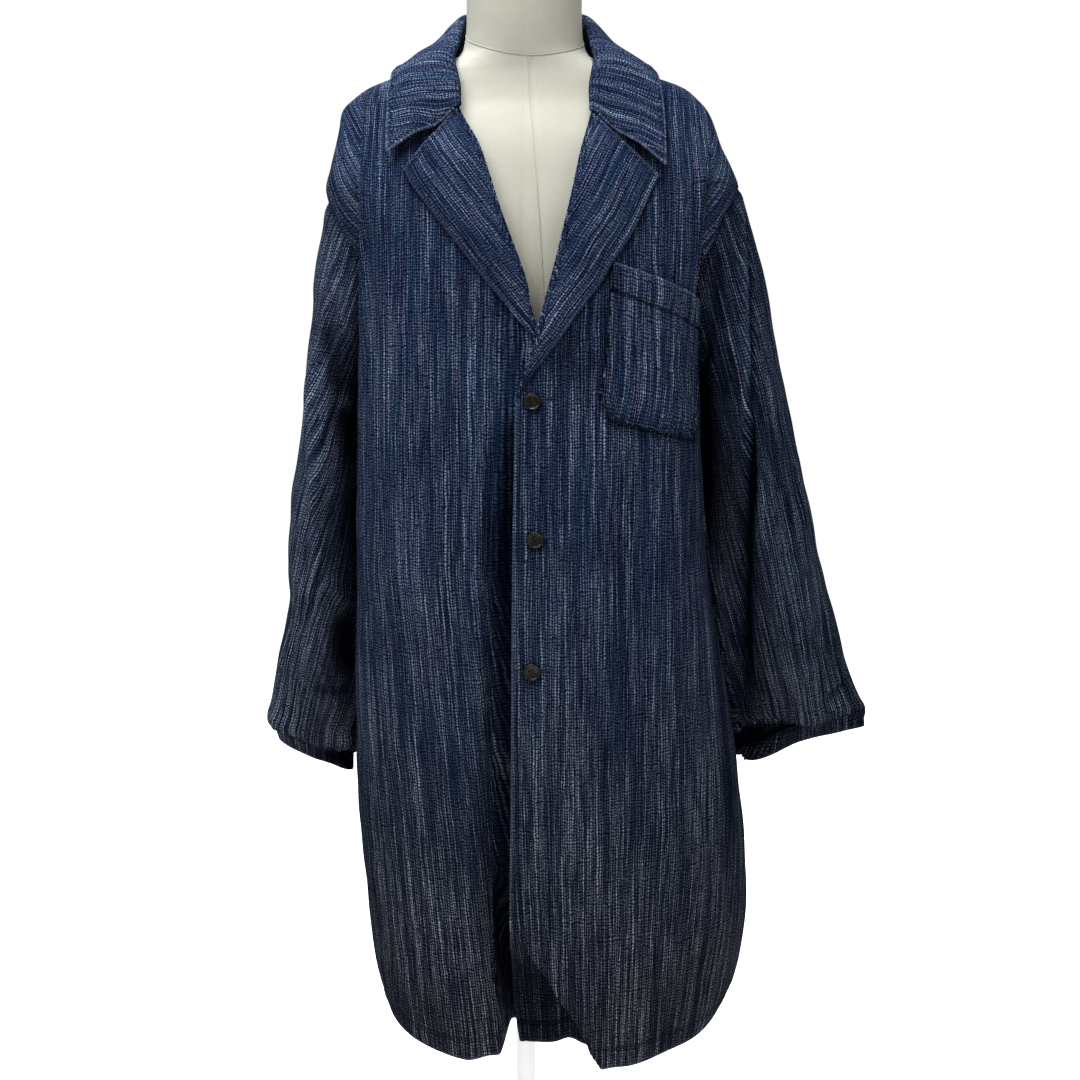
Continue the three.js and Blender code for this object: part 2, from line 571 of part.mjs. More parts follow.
// A four-hole button with a raised rim, lying on the left front.
function buttonGeometry() {
  const { radius, thick, rim, dish, hole, holeOut } = BUTTON;
  const profile = [
    [0, 0],
    [radius - 0.7, 0],
    [radius, 0.8],
    [radius, thick - 0.7],
    [radius - 0.7, thick],
    [radius - rim, thick],
    [radius - rim - 0.7, thick - dish],
    [0, thick - dish],
  ].map(([r, h]) => new THREE.Vector2(r, h));
  let solid = toManifold(new THREE.LatheGeometry(profile, 20));
  for (const [i, j] of [[-1, -1], [-1, 1], [1, -1], [1, 1]]) {
    const drill = new THREE.CylinderGeometry(hole, hole, 4 * thick, 8);
    drill.translate((i * holeOut) / 1.4, 0, (j * holeOut) / 1.4);
    solid = solid.subtract(toManifold(drill));
  }
  const mesh = solid.getMesh();
  const geometry = new THREE.BufferGeometry();
  geometry.setAttribute("position", new THREE.BufferAttribute(mesh.vertProperties, 3));
  geometry.setIndex(new THREE.BufferAttribute(mesh.triVerts, 1));
  return geometry;
}

// ---- the dress form -----------------------------------------------------------------------------
function torso() {
  const columns = 28;
  const turns = steps(columns, (t) => t * 2 * Math.PI).slice(0, columns);
  const heights = [722, 760, 800, 850, 900, 955, 1010, 1060, 1110, 1155, 1200, 1240, 1280, 1312, 1340];
  heights.push(1358, 1372, 1384, 1394, 1403, 1410, 1417, 1422, 1428, 1433, 1439, 1444, 1449, 1454);
  heights.push(1459, 1464, 1470, 1478, 1488, 1500, 1545);
  const ring = (z) =>
    turns.map((a) => [reach(FORM, z, a) * Math.sin(a), -reach(FORM, z, a) * Math.cos(a), z]);
  const rings = heights.map(ring);
  const points = [...rings.flat(), [0, 0, heights[0]], [0, 0, heights.at(-1)]];
  const [low, high] = [points.length - 2, points.length - 1];
  const id = (i, j) => i * columns + (j % columns);
  const triangles = [];
  for (let j = 0; j < columns; j++) {
    for (let i = 0; i < rings.length - 1; i++)
      triangles.push([id(i, j), id(i, j + 1), id(i + 1, j + 1)], [id(i, j), id(i + 1, j + 1), id(i + 1, j)]);
    triangles.push([low, id(0, j + 1), id(0, j)]);
    triangles.push([high, id(rings.length - 1, j), id(rings.length - 1, j + 1)]);
  }
  return geometryOf(points, triangles);
}

const turned = (profile, sides) =>
  new THREE.LatheGeometry(profile.map(([r, z]) => new THREE.Vector2(r, z)), sides).rotateX(90 * DEG);

function neckCap() {
  const { radius, thick } = NECK_CAP;
  const z = FORM.at(-1).z + 0.3;
  return turned([[0, z], [radius, z], [radius, z + thick - 4], [radius - 4, z + thick], [0, z + thick]], 28);
}
function pole() {
  const top = FORM[0].z - 0.3;
  const low = BASE.hubTop + 0.3;
  const { radius, foot } = POLE;
  const flange = 40;
  const profile = [[0, low], [foot, low], [foot, low + 24], [radius, low + 28], [radius, top - 12]];
  profile.push([flange - 4, top - 8], [flange, top - 5], [flange, top], [0, top]);
  return turned(profile, 24);
}
function base() {
  const { radius, thick, hub, hubTop } = BASE;
  const profile = [[0, 0], [radius - 3, 0], [radius, 3], [radius, thick - 6], [radius - 6, thick - 2]];
  profile.push([hub + 12, thick + 2], [hub, thick + 8], [hub, hubTop - 3], [hub - 3, hubTop], [0, hubTop]);
  return turned(profile, 40);
}

// ---- materials and assembly ---------------------------------------------------------------------
const kasuri = new THREE.MeshStandardMaterial({ color: 0x26334d, roughness: 0.92, metalness: 0 });
const horn = new THREE.MeshStandardMaterial({ color: 0x17130f, roughness: 0.3, metalness: 0 });
const linen = new THREE.MeshStandardMaterial({ color: 0xcfccbc, roughness: 0.85, metalness: 0 });
const painted = new THREE.MeshStandardMaterial({ color: 0xe4e2dc, roughness: 0.35, metalness: 0 });

const root = new THREE.Group();
function add(name, geometry, material, parent = root) {
  const mesh = new THREE.Mesh(geometry, material);
  mesh.name = name;
  parent.add(mesh);
  return mesh;
}

const coat = new THREE.Group();
root.add(coat);
add("back", backPanel(), kasuri, coat);
for (const side of ["left", "right"]) {
  add(`front_${side}`, frontPanel(side), kasuri, coat);
  add(`sleeve_${side}`, sleeve(side), kasuri, coat);
  add(`lapel_${side}`, lapel(side), kasuri, coat);
}
add("collar", collar(), kasuri, coat);
add("breast_pocket", pocket(), kasuri, coat);
BUTTONS.forEach(({ x, z }, i) => {
  const normal = normalOf((dx, dz) => leftFront(angleOf(x + dx, z + dz), z + dz));
  const button = add(`button_${i + 1}`, buttonGeometry(), horn, coat);
  button.position.set(...onLeft(x, z, SEAT));
  button.quaternion.setFromUnitVectors(new THREE.Vector3(0, 1, 0), normal);
});

const form = new THREE.Group();
root.add(form);
add("form_torso", torso(), linen, form);
add("form_neck_cap", neckCap(), painted, form);
add("form_pole", pole(), painted, form);
add("form_base", base(), painted, form);

export default root;
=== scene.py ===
"""A long kasuri cloth coat, buttoned, on a limbless dress form.

Shapes are worked out in millimetres in the frame's own axes: +Z is up, the coat's front faces -Y and the
wearer's left is +X. mesh() turns them into metres. Each cloth piece is a grid of points on its outer face,
shaped by creases, seams and hems, and made into a thin closed shell with rounded edges.
"""
import math

import bpy
import numpy as np
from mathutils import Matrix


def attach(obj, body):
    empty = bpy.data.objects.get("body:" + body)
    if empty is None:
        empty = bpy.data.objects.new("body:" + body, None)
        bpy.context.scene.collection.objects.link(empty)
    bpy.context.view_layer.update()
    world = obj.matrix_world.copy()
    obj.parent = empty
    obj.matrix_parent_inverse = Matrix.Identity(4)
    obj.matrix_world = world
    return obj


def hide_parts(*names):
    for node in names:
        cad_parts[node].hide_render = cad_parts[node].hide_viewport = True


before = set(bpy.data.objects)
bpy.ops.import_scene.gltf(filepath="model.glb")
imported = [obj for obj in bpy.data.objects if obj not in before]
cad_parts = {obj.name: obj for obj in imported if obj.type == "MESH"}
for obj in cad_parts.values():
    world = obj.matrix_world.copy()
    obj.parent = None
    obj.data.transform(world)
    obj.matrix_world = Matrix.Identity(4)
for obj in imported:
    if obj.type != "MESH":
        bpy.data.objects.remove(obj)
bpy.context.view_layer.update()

MM = 0.001
DEG = math.pi / 180

# ---- sizes --------------------------------------------------------------------------------------
CLOTH = 2.0  # one layer of the crepe-like cloth
DOUBLE = 2.8  # lapel and collar: two layers, pressed
LAID = 0.7  # gap between a piece and the panel it lies on
SEAM = 0.5  # gap between two panels' edges
HEM_Z = 434
NECK_Z = 1464
NAPE_RISE = 18  # how much higher the neck edge is at the nape
HEM_DEPTH = 20  # turned-up cloth at the hem and the cuffs
EDGE_STITCH = 6  # from an edge to its row of stitches
GREYING_Z = 1050  # below this the cloth greys
GREYING_RUN = 600  # how far down the greying is complete


def table(columns, *rows):
    """Rows of numbers as one array for each named column."""
    names = columns.split()
    return {name: np.array([row[i] for row in rows], float) for i, name in enumerate(names)}


# Horizontal sections of the coat's body: half-widths to each side, depths to the front and back, and how
# square the outline is (2 is an ellipse).
BODY = table(
    "z left right front back square",
    (434, 227, 158, 197, 200, 2.2),
    (464, 241, 168, 196, 200, 2.25),
    (500, 248, 174, 195, 199, 2.3),
    (545, 252, 178.5, 193, 198, 2.35),
    (612, 248, 184, 189, 195, 2.4),
    (690, 239.5, 188, 184, 190, 2.5),
    (750, 231, 188, 180, 186, 2.6),
    (840, 216, 186.5, 174, 179, 2.7),
    (900, 206, 184.5, 170, 174, 2.8),
    (1000, 195, 182, 162, 166, 2.9),
    (1080, 189, 180.5, 155, 159, 3),
    (1150, 188, 179, 148, 152, 3),
    (1210, 191, 179, 142, 146, 2.95),
    (1257, 203, 185, 136, 140, 2.8),
    (1290, 216, 200, 130, 135, 2.65),
    (1325, 229, 212, 120, 128, 2.45),
    (1349, 221.5, 207, 110, 122, 2.35),
    (1372, 210.5, 202, 98, 114, 2.2),
    (1392, 203, 197.5, 85, 106, 2.1),
    (1410, 194.5, 193, 73, 98, 2),
    (1422, 184, 181, 67, 93, 2),
    (1433, 170, 165.5, 63, 89, 2),
    (1444, 137, 135, 60.5, 84, 2),
    (1455, 103, 102, 59, 81, 2),
    (1464, 78, 78, 58, 79, 2),
)
# Soft folds of the hanging cloth, growing towards the hem: direction and width in degrees.
BODY_FOLDS = (
    # angle, width, out, from
    (-128, 15, 9, 980),
    (-152, 13, -10, 900),
    (-174, 15, 8, 1020),
    (162, 14, -9, 880),
    (138, 15, 9, 960),
    (112, 12, -8, 820),
    (-106, 11, -7, 800),
    (52, 14, 5, 860),
    (24, 11, 4, 760),
)
# Armholes, as ovals on the body: height of the middle, half-height, half-angles to front and back.
ARMHOLE = {
    "left": {"z": 1224.5, "half": 104.5, "front": 22, "back": 27},
    "right": {"z": 1218, "half": 98, "front": 22, "back": 27},
}
# Where each front's inner edge runs: the closure below the break, the roll line above it.
EDGE = {
    "left": table(
        "z x",
        (434, -4.5), (480, -10.8), (590, -13.6), (700, -12.3), (908, -10.7), (1060, -8.2), (1109, -6.1),
        (1138, 0.8), (1168, 7.8), (1187, 13.6), (1235, 26.4), (1274, 36.2), (1322, 47.5), (1355, 54.5),
        (1397, 66), (1430, 71), (1464, 76),
    ),
    "right": table(
        "z x",
        (434, 24), (1100, 27), (1150, 24), (1189, 12.6), (1222, 6.7), (1241, 0.8), (1289, -17.2),
        (1342, -34.5), (1364, -42.5), (1402, -63), (1430, -69), (1464, -76),
    ),
}
# Lapels: the outer edge from the break up to the tip, and the top edge from the tip to the roll line.
LAPEL = {
    "left": table(
        "z x",
        (1113, -4.6), (1124, 1.6), (1146, 17), (1171, 36.5), (1192, 51.5), (1224, 76), (1242, 86.5),
        (1270, 105), (1309, 124), (1330, 134.5),
    ),
    "right": table(
        "z x",
        (1158, 17), (1174, 6.8), (1204, -17.7), (1235, -44), (1258, -61.5), (1282, -81), (1302, -96.5),
        (1320, -110), (1337, -118.7),
    ),
}
LAPEL_TOP = {
    "left": {"tip": (134.5, 1330), "notch": (93, 1363.5), "gorge": (65.5, 1395)},
    "right": {"tip": (-118.7, 1337), "notch": (-82, 1375), "gorge": (-62.5, 1401.5)},
}
# Sleeves: inner and outer points of each ring, and half the ring's depth across them.
SLEEVE = {
    "left": table(
        "ix iy iz ox oy oz half",
        (191, 4, 1108, 245, 2, 1284, 76),
        (191, 4, 1096, 258, 2, 1236, 80),
        (192, 4, 1076, 267, 2, 1188, 82),
        (193, 4, 1048, 277, 3, 1138, 80),
        (196, 6, 1014, 288, 4, 1092, 76),
        (200, 8, 970, 302, 6, 1040, 71),
        (205.5, 10, 922, 317, 8, 984, 65),
        (213.5, 12, 868, 331, 11, 922, 57),
        (222.5, 14, 812, 350, 15, 860, 50),
        (233, 16, 753, 366, 20, 805, 44),
        (239, 18, 712, 387, 24, 755, 40),
        (241.5, 20, 688, 392, 26, 729, 37),
    ),
    "right": table(
        "ix iy iz ox oy oz half",
        (-182, 4, 1108, -222, 2, 1266, 78),
        (-182, 4, 1092, -228, 2, 1214, 84),
        (-183, 4, 1070, -235, 2, 1158, 87),
        (-184, 4, 1038, -242, 3, 1102, 86),
        (-185, 4, 1000, -250, 4, 1046, 82),
        (-186, 6, 956, -259, 5, 986, 76),
        (-187.5, 8, 908, -264, 6, 928, 69),
        (-189, 10, 856, -265, 8, 878, 61),
        (-190, 12, 800, -278, 12, 824, 52),
        (-190.6, 14, 744, -288, 17, 774, 44),
        (-190.6, 16, 706, -295, 20, 741, 40),
        (-190.6, 16, 680, -289, 21, 716, 36),
    ),
}
SLEEVE_FOLDS = {
    # turn and width in degrees, out as a share of half, from and to as shares of the length
    "left": ((139, 30, -0.54, 0.06, 0.97), (88, 12, 0.10, 0.06, 0.95), (250, 22, -0.14, 0.25, 0.95)),
    "right": ((150, 22, -0.22, 0.16, 0.80), (92, 12, 0.08, 0.25, 0.65), (240, 24, -0.14, 0.3, 0.95)),
}
# Collar stations from the right front end round the neck to the left one: the neck seam, the fold at the
# top, the free edge of the fall, and how much the fall arches.
COLLAR = table(
    "z sx sy sz tx ty tz ex ey ez arch",
    (0, -66, -75, 1404, -65, -80, 1404.5, -136.5, -104, 1352, 3),
    (1, -67, -64, 1426, -69, -70, 1429, -138, -80, 1386, 5),
    (2, -72, -50, 1448.5, -76, -53, 1453, -138.5, -48, 1425, 8),
    (3, -75, -22, 1465, -69, -25, 1474, -136, -10, 1449, 7),
    (4, -76, 8, 1466, -66, 0, 1494, -126, 26, 1451, 8),
    (5, -66, 44, 1471, -61.5, 38, 1516, -102, 64, 1454, 14),
    (6, -38, 70, 1480, -34, 62, 1526, -58, 96, 1452, 14),
    (7, 0, 80, 1484, 0, 70, 1529, 0, 104, 1451, 12),
    (8, 38, 70, 1480, 34, 62, 1526, 58, 96, 1452, 14),
    (9, 66, 44, 1471, 62, 38, 1516, 102, 64, 1454, 14),
    (10, 76, 8, 1466, 66, 0, 1494, 126, 26, 1451, 8),
    (11, 75, -22, 1465, 70, -28, 1473, 136, -10, 1450, 7),
    (12, 73, -50, 1448.5, 76, -55, 1453, 140, -46, 1426, 8),
    (13, 69, -65, 1424, 70, -72, 1427, 143, -80, 1381, 5),
    (14, 69.5, -79, 1399, 68.5, -84, 1399.5, 141.5, -108, 1340, 3),
)
COLLAR_NOTCH = {"right": 10, "left": 7.5}  # how far each front end of the fall dips
POCKET = {"top_in": (89, 1242.5), "top_out": (177.5, 1207), "low_out": (178, 1066), "low_in": (76.5, 1090)}
POCKET_ROUND = 19  # radius of its lower corners
POCKET_CLOTH_THICK = 3.4  # its edges are turned under
POCKET_MOUTH = 27  # depth of the hem at the pocket's mouth
FORM = table(
    "z left right front back square",
    (722, 140, 140, 96, 98, 2.3),
    (800, 152, 152, 106, 110, 2.3),
    (900, 143, 143, 100, 100, 2.3),
    (1010, 122, 122, 88, 84, 2.3),
    (1110, 134, 134, 102, 96, 2.3),
    (1200, 150, 150, 114, 110, 2.35),
    (1280, 162, 162, 110, 114, 2.4),
    (1340, 178, 178, 97, 110, 2.3),
    (1372, 186, 186, 86, 104, 2.15),
    (1394, 185, 185, 74, 97, 2.05),
    (1410, 179, 179, 64, 90, 2),
    (1422, 170, 170, 59, 85, 2),
    (1433, 156.6, 156.6, 56, 81, 2),
    (1444, 126, 126, 54, 76, 2),
    (1454, 93, 93, 54, 72, 2),
    (1464, 71, 71, 55, 69, 2),
    (1478, 63.5, 63.5, 57, 65, 2),
    (1500, 61, 61, 59, 62, 2),
    (1545, 61, 61, 60, 61, 2),
)
FORM_TURN = 7  # degrees that the form is turned towards +X
NECK_SEAM = {"z": 1485, "dip": 28}  # the form's neck seam, and how much lower it is in front
BUTTONS = ((8.7, 1107.5), (11.7, 971.5), (8.6, 840))
BUTTON = {"radius": 8.6, "thick": 3.2, "rim": 1.5, "dish": 0.8, "hole": 0.9, "apart": 1.5}
# Buttonholes, from the button's middle: both ends, height above it, slope, and the pitch of the stitches.
HOLE = {"from": -4, "to": 21, "above": 1.5, "slope": 0.04, "pitch": 0.75}
# The slanting fold over the left front's lower corner: a point on it, its slope, and where it starts.
CORNER = {"x": -8.6, "z": 569, "slope": 0.61, "from": 580}


# ---- shape helpers ------------------------------------------------------------------------------
def smooth(t):
    s = np.clip(t, 0, 1)
    return s * s * (3 - 2 * s)


def bell(t):
    return np.exp(-np.square(t))


def mix(a, b, t):
    return a + (b - a) * t


def unit(v):
    return v / np.maximum(np.linalg.norm(v, axis=-1, keepdims=True), 1e-9)


def at(rows, column, z):
    """The value of one column at height z, on a smooth curve through the rows."""
    zs, vs = rows["z"], rows[column]
    last = len(zs) - 1
    slopes = np.empty_like(vs)
    slopes[1:-1] = (vs[2:] - vs[:-2]) / (zs[2:] - zs[:-2])
    slopes[0] = (vs[1] - vs[0]) / (zs[1] - zs[0])
    slopes[-1] = (vs[-1] - vs[-2]) / (zs[-1] - zs[-2])
    i = np.clip(np.searchsorted(zs, z) - 1, 0, last - 1)
    span = zs[i + 1] - zs[i]
    t = np.clip((z - zs[i]) / span, 0, 1)
    t2, t3 = t * t, t * t * t
    return (
        (2 * t3 - 3 * t2 + 1) * vs[i]
        + (t3 - 2 * t2 + t) * span * slopes[i]
        + (3 * t2 - 2 * t3) * vs[i + 1]
        + (t3 - t2) * span * slopes[i + 1]
    )


def reach(rows, z, angle):
    """Distance from the axis to a section's outline in a direction (0 is the front, + towards +X)."""
    s, c = np.sin(angle), np.cos(angle)
    n = at(rows, "square", z)
    wide = np.where(s > 0, at(rows, "left", z), at(rows, "right", z))
    deep = np.where(c > 0, at(rows, "front", z), at(rows, "back", z))
    return (np.abs(s / wide) ** n + np.abs(c / deep) ** n) ** (-1 / n)


def angle_of(x, z):
    """The direction in which the front of the body passes through x at height z."""
    n = at(BODY, "square", z)
    wide = np.where(x > 0, at(BODY, "left", z), at(BODY, "right", z))
    share = np.minimum(0.999, np.abs(x) / wide)
    return np.arctan2(x, at(BODY, "front", z) * (1 - share**n) ** (1 / n))


def fold_at(angle, z):
    total = 0
    for middle, width, out, start in BODY_FOLDS:
        turn = np.arctan2(np.sin(angle - middle * DEG), np.cos(angle - middle * DEG))
        total = total + out * bell(turn / (width * DEG)) * smooth((start - z) / (start - HEM_Z))
    return total


def body(angle, z):
    """A point of the body's outer face. The rows near the neck rise towards the nape."""
    r = reach(BODY, z, angle) + fold_at(angle, z)
    nape = np.maximum(0, -np.cos(angle)) ** 2 * smooth((z - 1390) / 74)
    return np.stack([r * np.sin(angle), -r * np.cos(angle), z + NAPE_RISE * nape], -1)


def turned_corner(x, z):
    """1 where the left front's lower corner lies swung back, beyond its slanting fold."""
    fold_x = CORNER["x"] + CORNER["slope"] * (CORNER["z"] - z)
    return smooth((CORNER["from"] - z) / 75) * (1 - smooth((x - fold_x + 3) / 8))


def left_front(angle, z):
    """The left front lies on the right one. Its lower corner swings back below a slanting fold."""
    p = body(angle, z)
    x = p[..., 0]
    corner = turned_corner(x, z)
    swell = 17 * smooth((650 - z) / 200) * bell((x - 98) / 62)
    closed = 2 * (1 - smooth((x - 50) / 70))
    over_lapel = 5.6 * bell((z - 1172) / 42) * (1 - smooth((x - 25) / 70))
    p[..., 1] += 52 * corner - swell - closed - over_lapel
    p[..., 2] = z
    return p


def right_front(angle, z):
    """Beside the closing edge the right front dips into a valley, and its lower corner curls back."""
    p = body(angle, z)
    x = p[..., 0]
    tucked = 1.6 * smooth((x + 46) / 34)
    valley = 6 * bell((x + 14) / 20) * smooth((1130 - z) / 200)
    curl = 78 * smooth((640 - z) / 190) * smooth((x + 25) / 12)
    p[..., 1] += tucked + valley + curl
    p[..., 2] = z
    return p


FRONT = {"left": left_front, "right": right_front}


def slope_normal(near, step=1.5):
    """The outward normal of a surface near(dx, dz)."""
    across = near(step, 0) - near(-step, 0)
    up = near(0, step) - near(0, -step)
    return unit(np.cross(across, up))


def lifted(side, x, z, lift):
    """A point over a front, at x and z on it, moved out along its normal."""
    surface = FRONT[side]
    near = lambda dx, dz: surface(angle_of(x + dx, z + dz), z + dz)
    return near(0, 0) + slope_normal(near) * np.asarray(lift)[..., None]


def opening(side, part, z, shrink=0):
    """Half-angle of the armhole at height z, towards the front or the back."""
    hole = ARMHOLE[side]
    t = (z - hole["z"]) / (hole["half"] - shrink)
    return hole[part] * DEG * np.sqrt(np.maximum(0, 1 - t * t))


def grid_normals(grid, ring=False):
    """Outward normals of a grid whose rows run up and whose columns run across."""
    if ring:
        across = np.roll(grid, -1, 1) - np.roll(grid, 1, 1)
    else:
        across = np.gradient(grid, axis=1, edge_order=2)
    return unit(np.cross(across, np.gradient(grid, axis=0, edge_order=2)))


def arc(grid, axis):
    """Distance along the rows (axis 1) or up the columns (axis 0) from the first point."""
    steps = np.linalg.norm(np.diff(grid, axis=axis), axis=-1)
    start = np.zeros_like(np.take(steps, [0], axis))
    return np.concatenate([start, np.cumsum(steps, axis)], axis)


def soften(grid, passes, axis=0):
    """Averages neighbours along an axis, with the ends held."""
    for _ in range(passes):
        middle = np.take(grid, range(1, grid.shape[axis] - 1), axis)
        before = np.take(grid, range(0, grid.shape[axis] - 2), axis)
        after = np.take(grid, range(2, grid.shape[axis]), axis)
        ends = [np.take(grid, [k], axis) for k in (0, -1)]
        grid = np.concatenate([ends[0], (before + 2 * middle + after) / 4, ends[1]], axis)
    return grid


def creased(creases, x, z):
    """Soft troughs (out < 0) and ridges (out > 0), each along a bowed line that fades at its ends."""
    total = np.zeros_like(x)
    for x0, z0, x1, z1, bow, width, out in creases:
        run = math.hypot(x1 - x0, z1 - z0)
        ax, az = (x1 - x0) / run, (z1 - z0) / run
        t = ((x - x0) * ax + (z - z0) * az) / run
        off = (x - x0) * az - (z - z0) * ax - bow * 4 * t * (1 - t)
        fade = smooth((t + 0.1) / 0.35) * smooth((1.1 - t) / 0.35)
        total += out * bell(off / width) * fade
    return total


def uneven(x, z, size, seed):
    """Smooth irregular swelling between about -1 and 1, with features of about that size."""
    draw = np.random.default_rng(seed)
    total = np.zeros_like(x)
    waves = 9
    for _ in range(waves):
        turn, phase = draw.uniform(0, math.pi), draw.uniform(0, 2 * math.pi)
        k = draw.uniform(0.55, 1.5) * math.pi / size
        total += np.sin(k * (x * math.cos(turn) + z * math.sin(turn)) + phase)
    return total / math.sqrt(waves)


# ---- meshes -------------------------------------------------------------------------------------
def mesh(name, points, faces, uv=None, pale_edges_and_painted_light=None, materials=(), shade=None):
    """A mesh object from points in millimetres and quads. uv, the paleness of edges with the painted light,
    and the shade are given per point.
    """
    data = bpy.data.meshes.new(name)
    faces = np.asarray(faces, np.int32)
    sides = faces.shape[1]
    data.vertices.add(len(points))
    data.vertices.foreach_set("co", (np.asarray(points, float) * MM).astype(np.float32).ravel())
    data.loops.add(faces.size)
    data.loops.foreach_set("vertex_index", faces.ravel())
    data.polygons.add(len(faces))
    data.polygons.foreach_set("loop_start", np.arange(0, faces.size, sides, dtype=np.int32))
    data.polygons.foreach_set("use_smooth", np.full(len(faces), True))
    if uv is not None:
        layer = data.uv_layers.new(name="cloth")
        layer.data.foreach_set("uv", (np.asarray(uv, float) * MM).astype(np.float32)[faces.ravel()].ravel())
    if pale_edges_and_painted_light is not None:
        greyer_below = smooth((GREYING_Z - np.asarray(points)[:, 2]) / GREYING_RUN)
        for key, value in (("pale_edges_and_painted_light", pale_edges_and_painted_light), ("shade", shade), ("greyer_below", greyer_below)):
            layer = data.attributes.new(key, "FLOAT", "POINT")
            layer.data.foreach_set("value", np.asarray(value, np.float32).ravel())
    data.update(calc_edges=True)
    data.validate()
    for material in materials:
        data.materials.append(material)
    thing = bpy.data.objects.new(name, data)
    bpy.context.collection.objects.link(thing)
    return thing


def shell(name, grid, uv, pale_edges_and_painted_light, thick, materials, shade=0, ring=False):
    """A closed thin shell: the grid, the same grid moved inwards, and a rounded rim along each edge."""
    rows, cols = grid.shape[:2]
    normals = grid_normals(grid, ring)
    thick = np.broadcast_to(thick, (rows, cols))
    inner = grid - normals * thick[..., None]
    size = rows * cols
    index = np.arange(size).reshape(rows, cols)
    if ring:
        index = np.concatenate([index, index[:, :1]], 1)
    quads = np.stack([index[:-1, :-1], index[:-1, 1:], index[1:, 1:], index[1:, :-1]], -1).reshape(-1, 4)
    points = [grid.reshape(-1, 3), inner.reshape(-1, 3)]
    faces = [quads, quads[:, ::-1] + size]
    sources = [np.arange(size), np.arange(size)]
    count = 2 * size
    if ring:
        loops = [(index[0, :-1], True), (index[-1, :-1][::-1], True)]
    else:
        border = np.concatenate([index[0, :-1], index[:-1, -1], index[-1, :0:-1], index[:0:-1, 0]])
        loops = [(border, True)]
    flat_grid, flat_normals = grid.reshape(-1, 3), normals.reshape(-1, 3)
    for border, _ in loops:
        along = unit(flat_grid[np.roll(border, -1)] - flat_grid[np.roll(border, 1)])
        out = unit(np.cross(along, flat_normals[border]))
        half = thick.reshape(-1)[border][:, None] / 2
        middle = flat_grid[border] - flat_normals[border] * half
        ring_ids = [border]
        for turn in (45, 90, 135):
            s, c = math.sin(turn * DEG), math.cos(turn * DEG)
            points.append(middle + half * (c * flat_normals[border] + s * out))
            sources.append(border)
            ring_ids.append(np.arange(count, count + len(border)))
            count += len(border)
        ring_ids.append(border + size)
        for a, b in zip(ring_ids, ring_ids[1:]):
            faces.append(np.stack([a, b, np.roll(b, -1), np.roll(a, -1)], -1))
    source = np.concatenate(sources)
    return mesh(
        name,
        np.concatenate(points),
        np.concatenate(faces),
        uv.reshape(-1, 2)[source],
        pale_edges_and_painted_light.reshape(-1)[source],
        materials,
        np.broadcast_to(shade, (rows, cols)).reshape(-1)[source],
    )


# ---- shader nodes -------------------------------------------------------------------------------
def add_node(tree, kind, values=(), **settings):
    """A node of a kind, with settings on it and values or links on its inputs, by name or by index."""
    node = tree.nodes.new("ShaderNode" + kind)
    for key, value in settings.items():
        setattr(node, key, value)
    for key, value in dict(values).items():
        if isinstance(value, bpy.types.NodeSocket):
            tree.links.new(value, node.inputs[key])
        else:
            node.inputs[key].default_value = value
    return node


def maths(tree, operation, a, b=0.0, clamp=False):
    return add_node(tree, "Math", {0: a, 1: b}, operation=operation, use_clamp=clamp).outputs[0]


def ramp(tree, value, low, high, to_low=0.0, to_high=1.0):
    """Rises smoothly from to_low at low to to_high at high."""
    values = {"Value": value, "From Min": low, "From Max": high, "To Min": to_low, "To Max": to_high}
    return add_node(tree, "MapRange", values, interpolation_type="SMOOTHSTEP").outputs["Result"]


def blend(tree, share, a, b, kind="MIX"):
    node = add_node(tree, "Mix", data_type="RGBA", blend_type=kind, clamp_factor=True)
    for socket, value in zip([node.inputs[0], node.inputs[6], node.inputs[7]], [share, a, b]):
        if isinstance(value, bpy.types.NodeSocket):
            tree.links.new(value, socket)
        else:
            socket.default_value = value
    return node.outputs[2]


def group(name, inputs, outputs):
    """An empty node group with named sockets, and its input and output nodes."""
    tree = bpy.data.node_groups.new(name, "ShaderNodeTree")
    for socket, kind, value in inputs:
        made = tree.interface.new_socket(name=socket, in_out="INPUT", socket_type="NodeSocket" + kind)
        if value is not None:
            made.default_value = value
    for socket, kind in outputs:
        tree.interface.new_socket(name=socket, in_out="OUTPUT", socket_type="NodeSocket" + kind)
    return tree, tree.nodes.new("NodeGroupInput"), tree.nodes.new("NodeGroupOutput")


def noise(tree, across, along, wide, tall, detail=2.0, roughness=0.5, shift=0.0):
    """Noise whose features are about wide by tall millimetres."""
    place = add_node(
        tree,
        "CombineXYZ",
        {0: maths(tree, "DIVIDE", across, wide), 1: maths(tree, "DIVIDE", along, tall), 2: shift},
    )
    values = {"Vector": place.outputs[0], "Scale": 1.0, "Detail": detail, "Roughness": roughness}
    return add_node(tree, "TexNoise", values, noise_dimensions="3D").outputs[0]


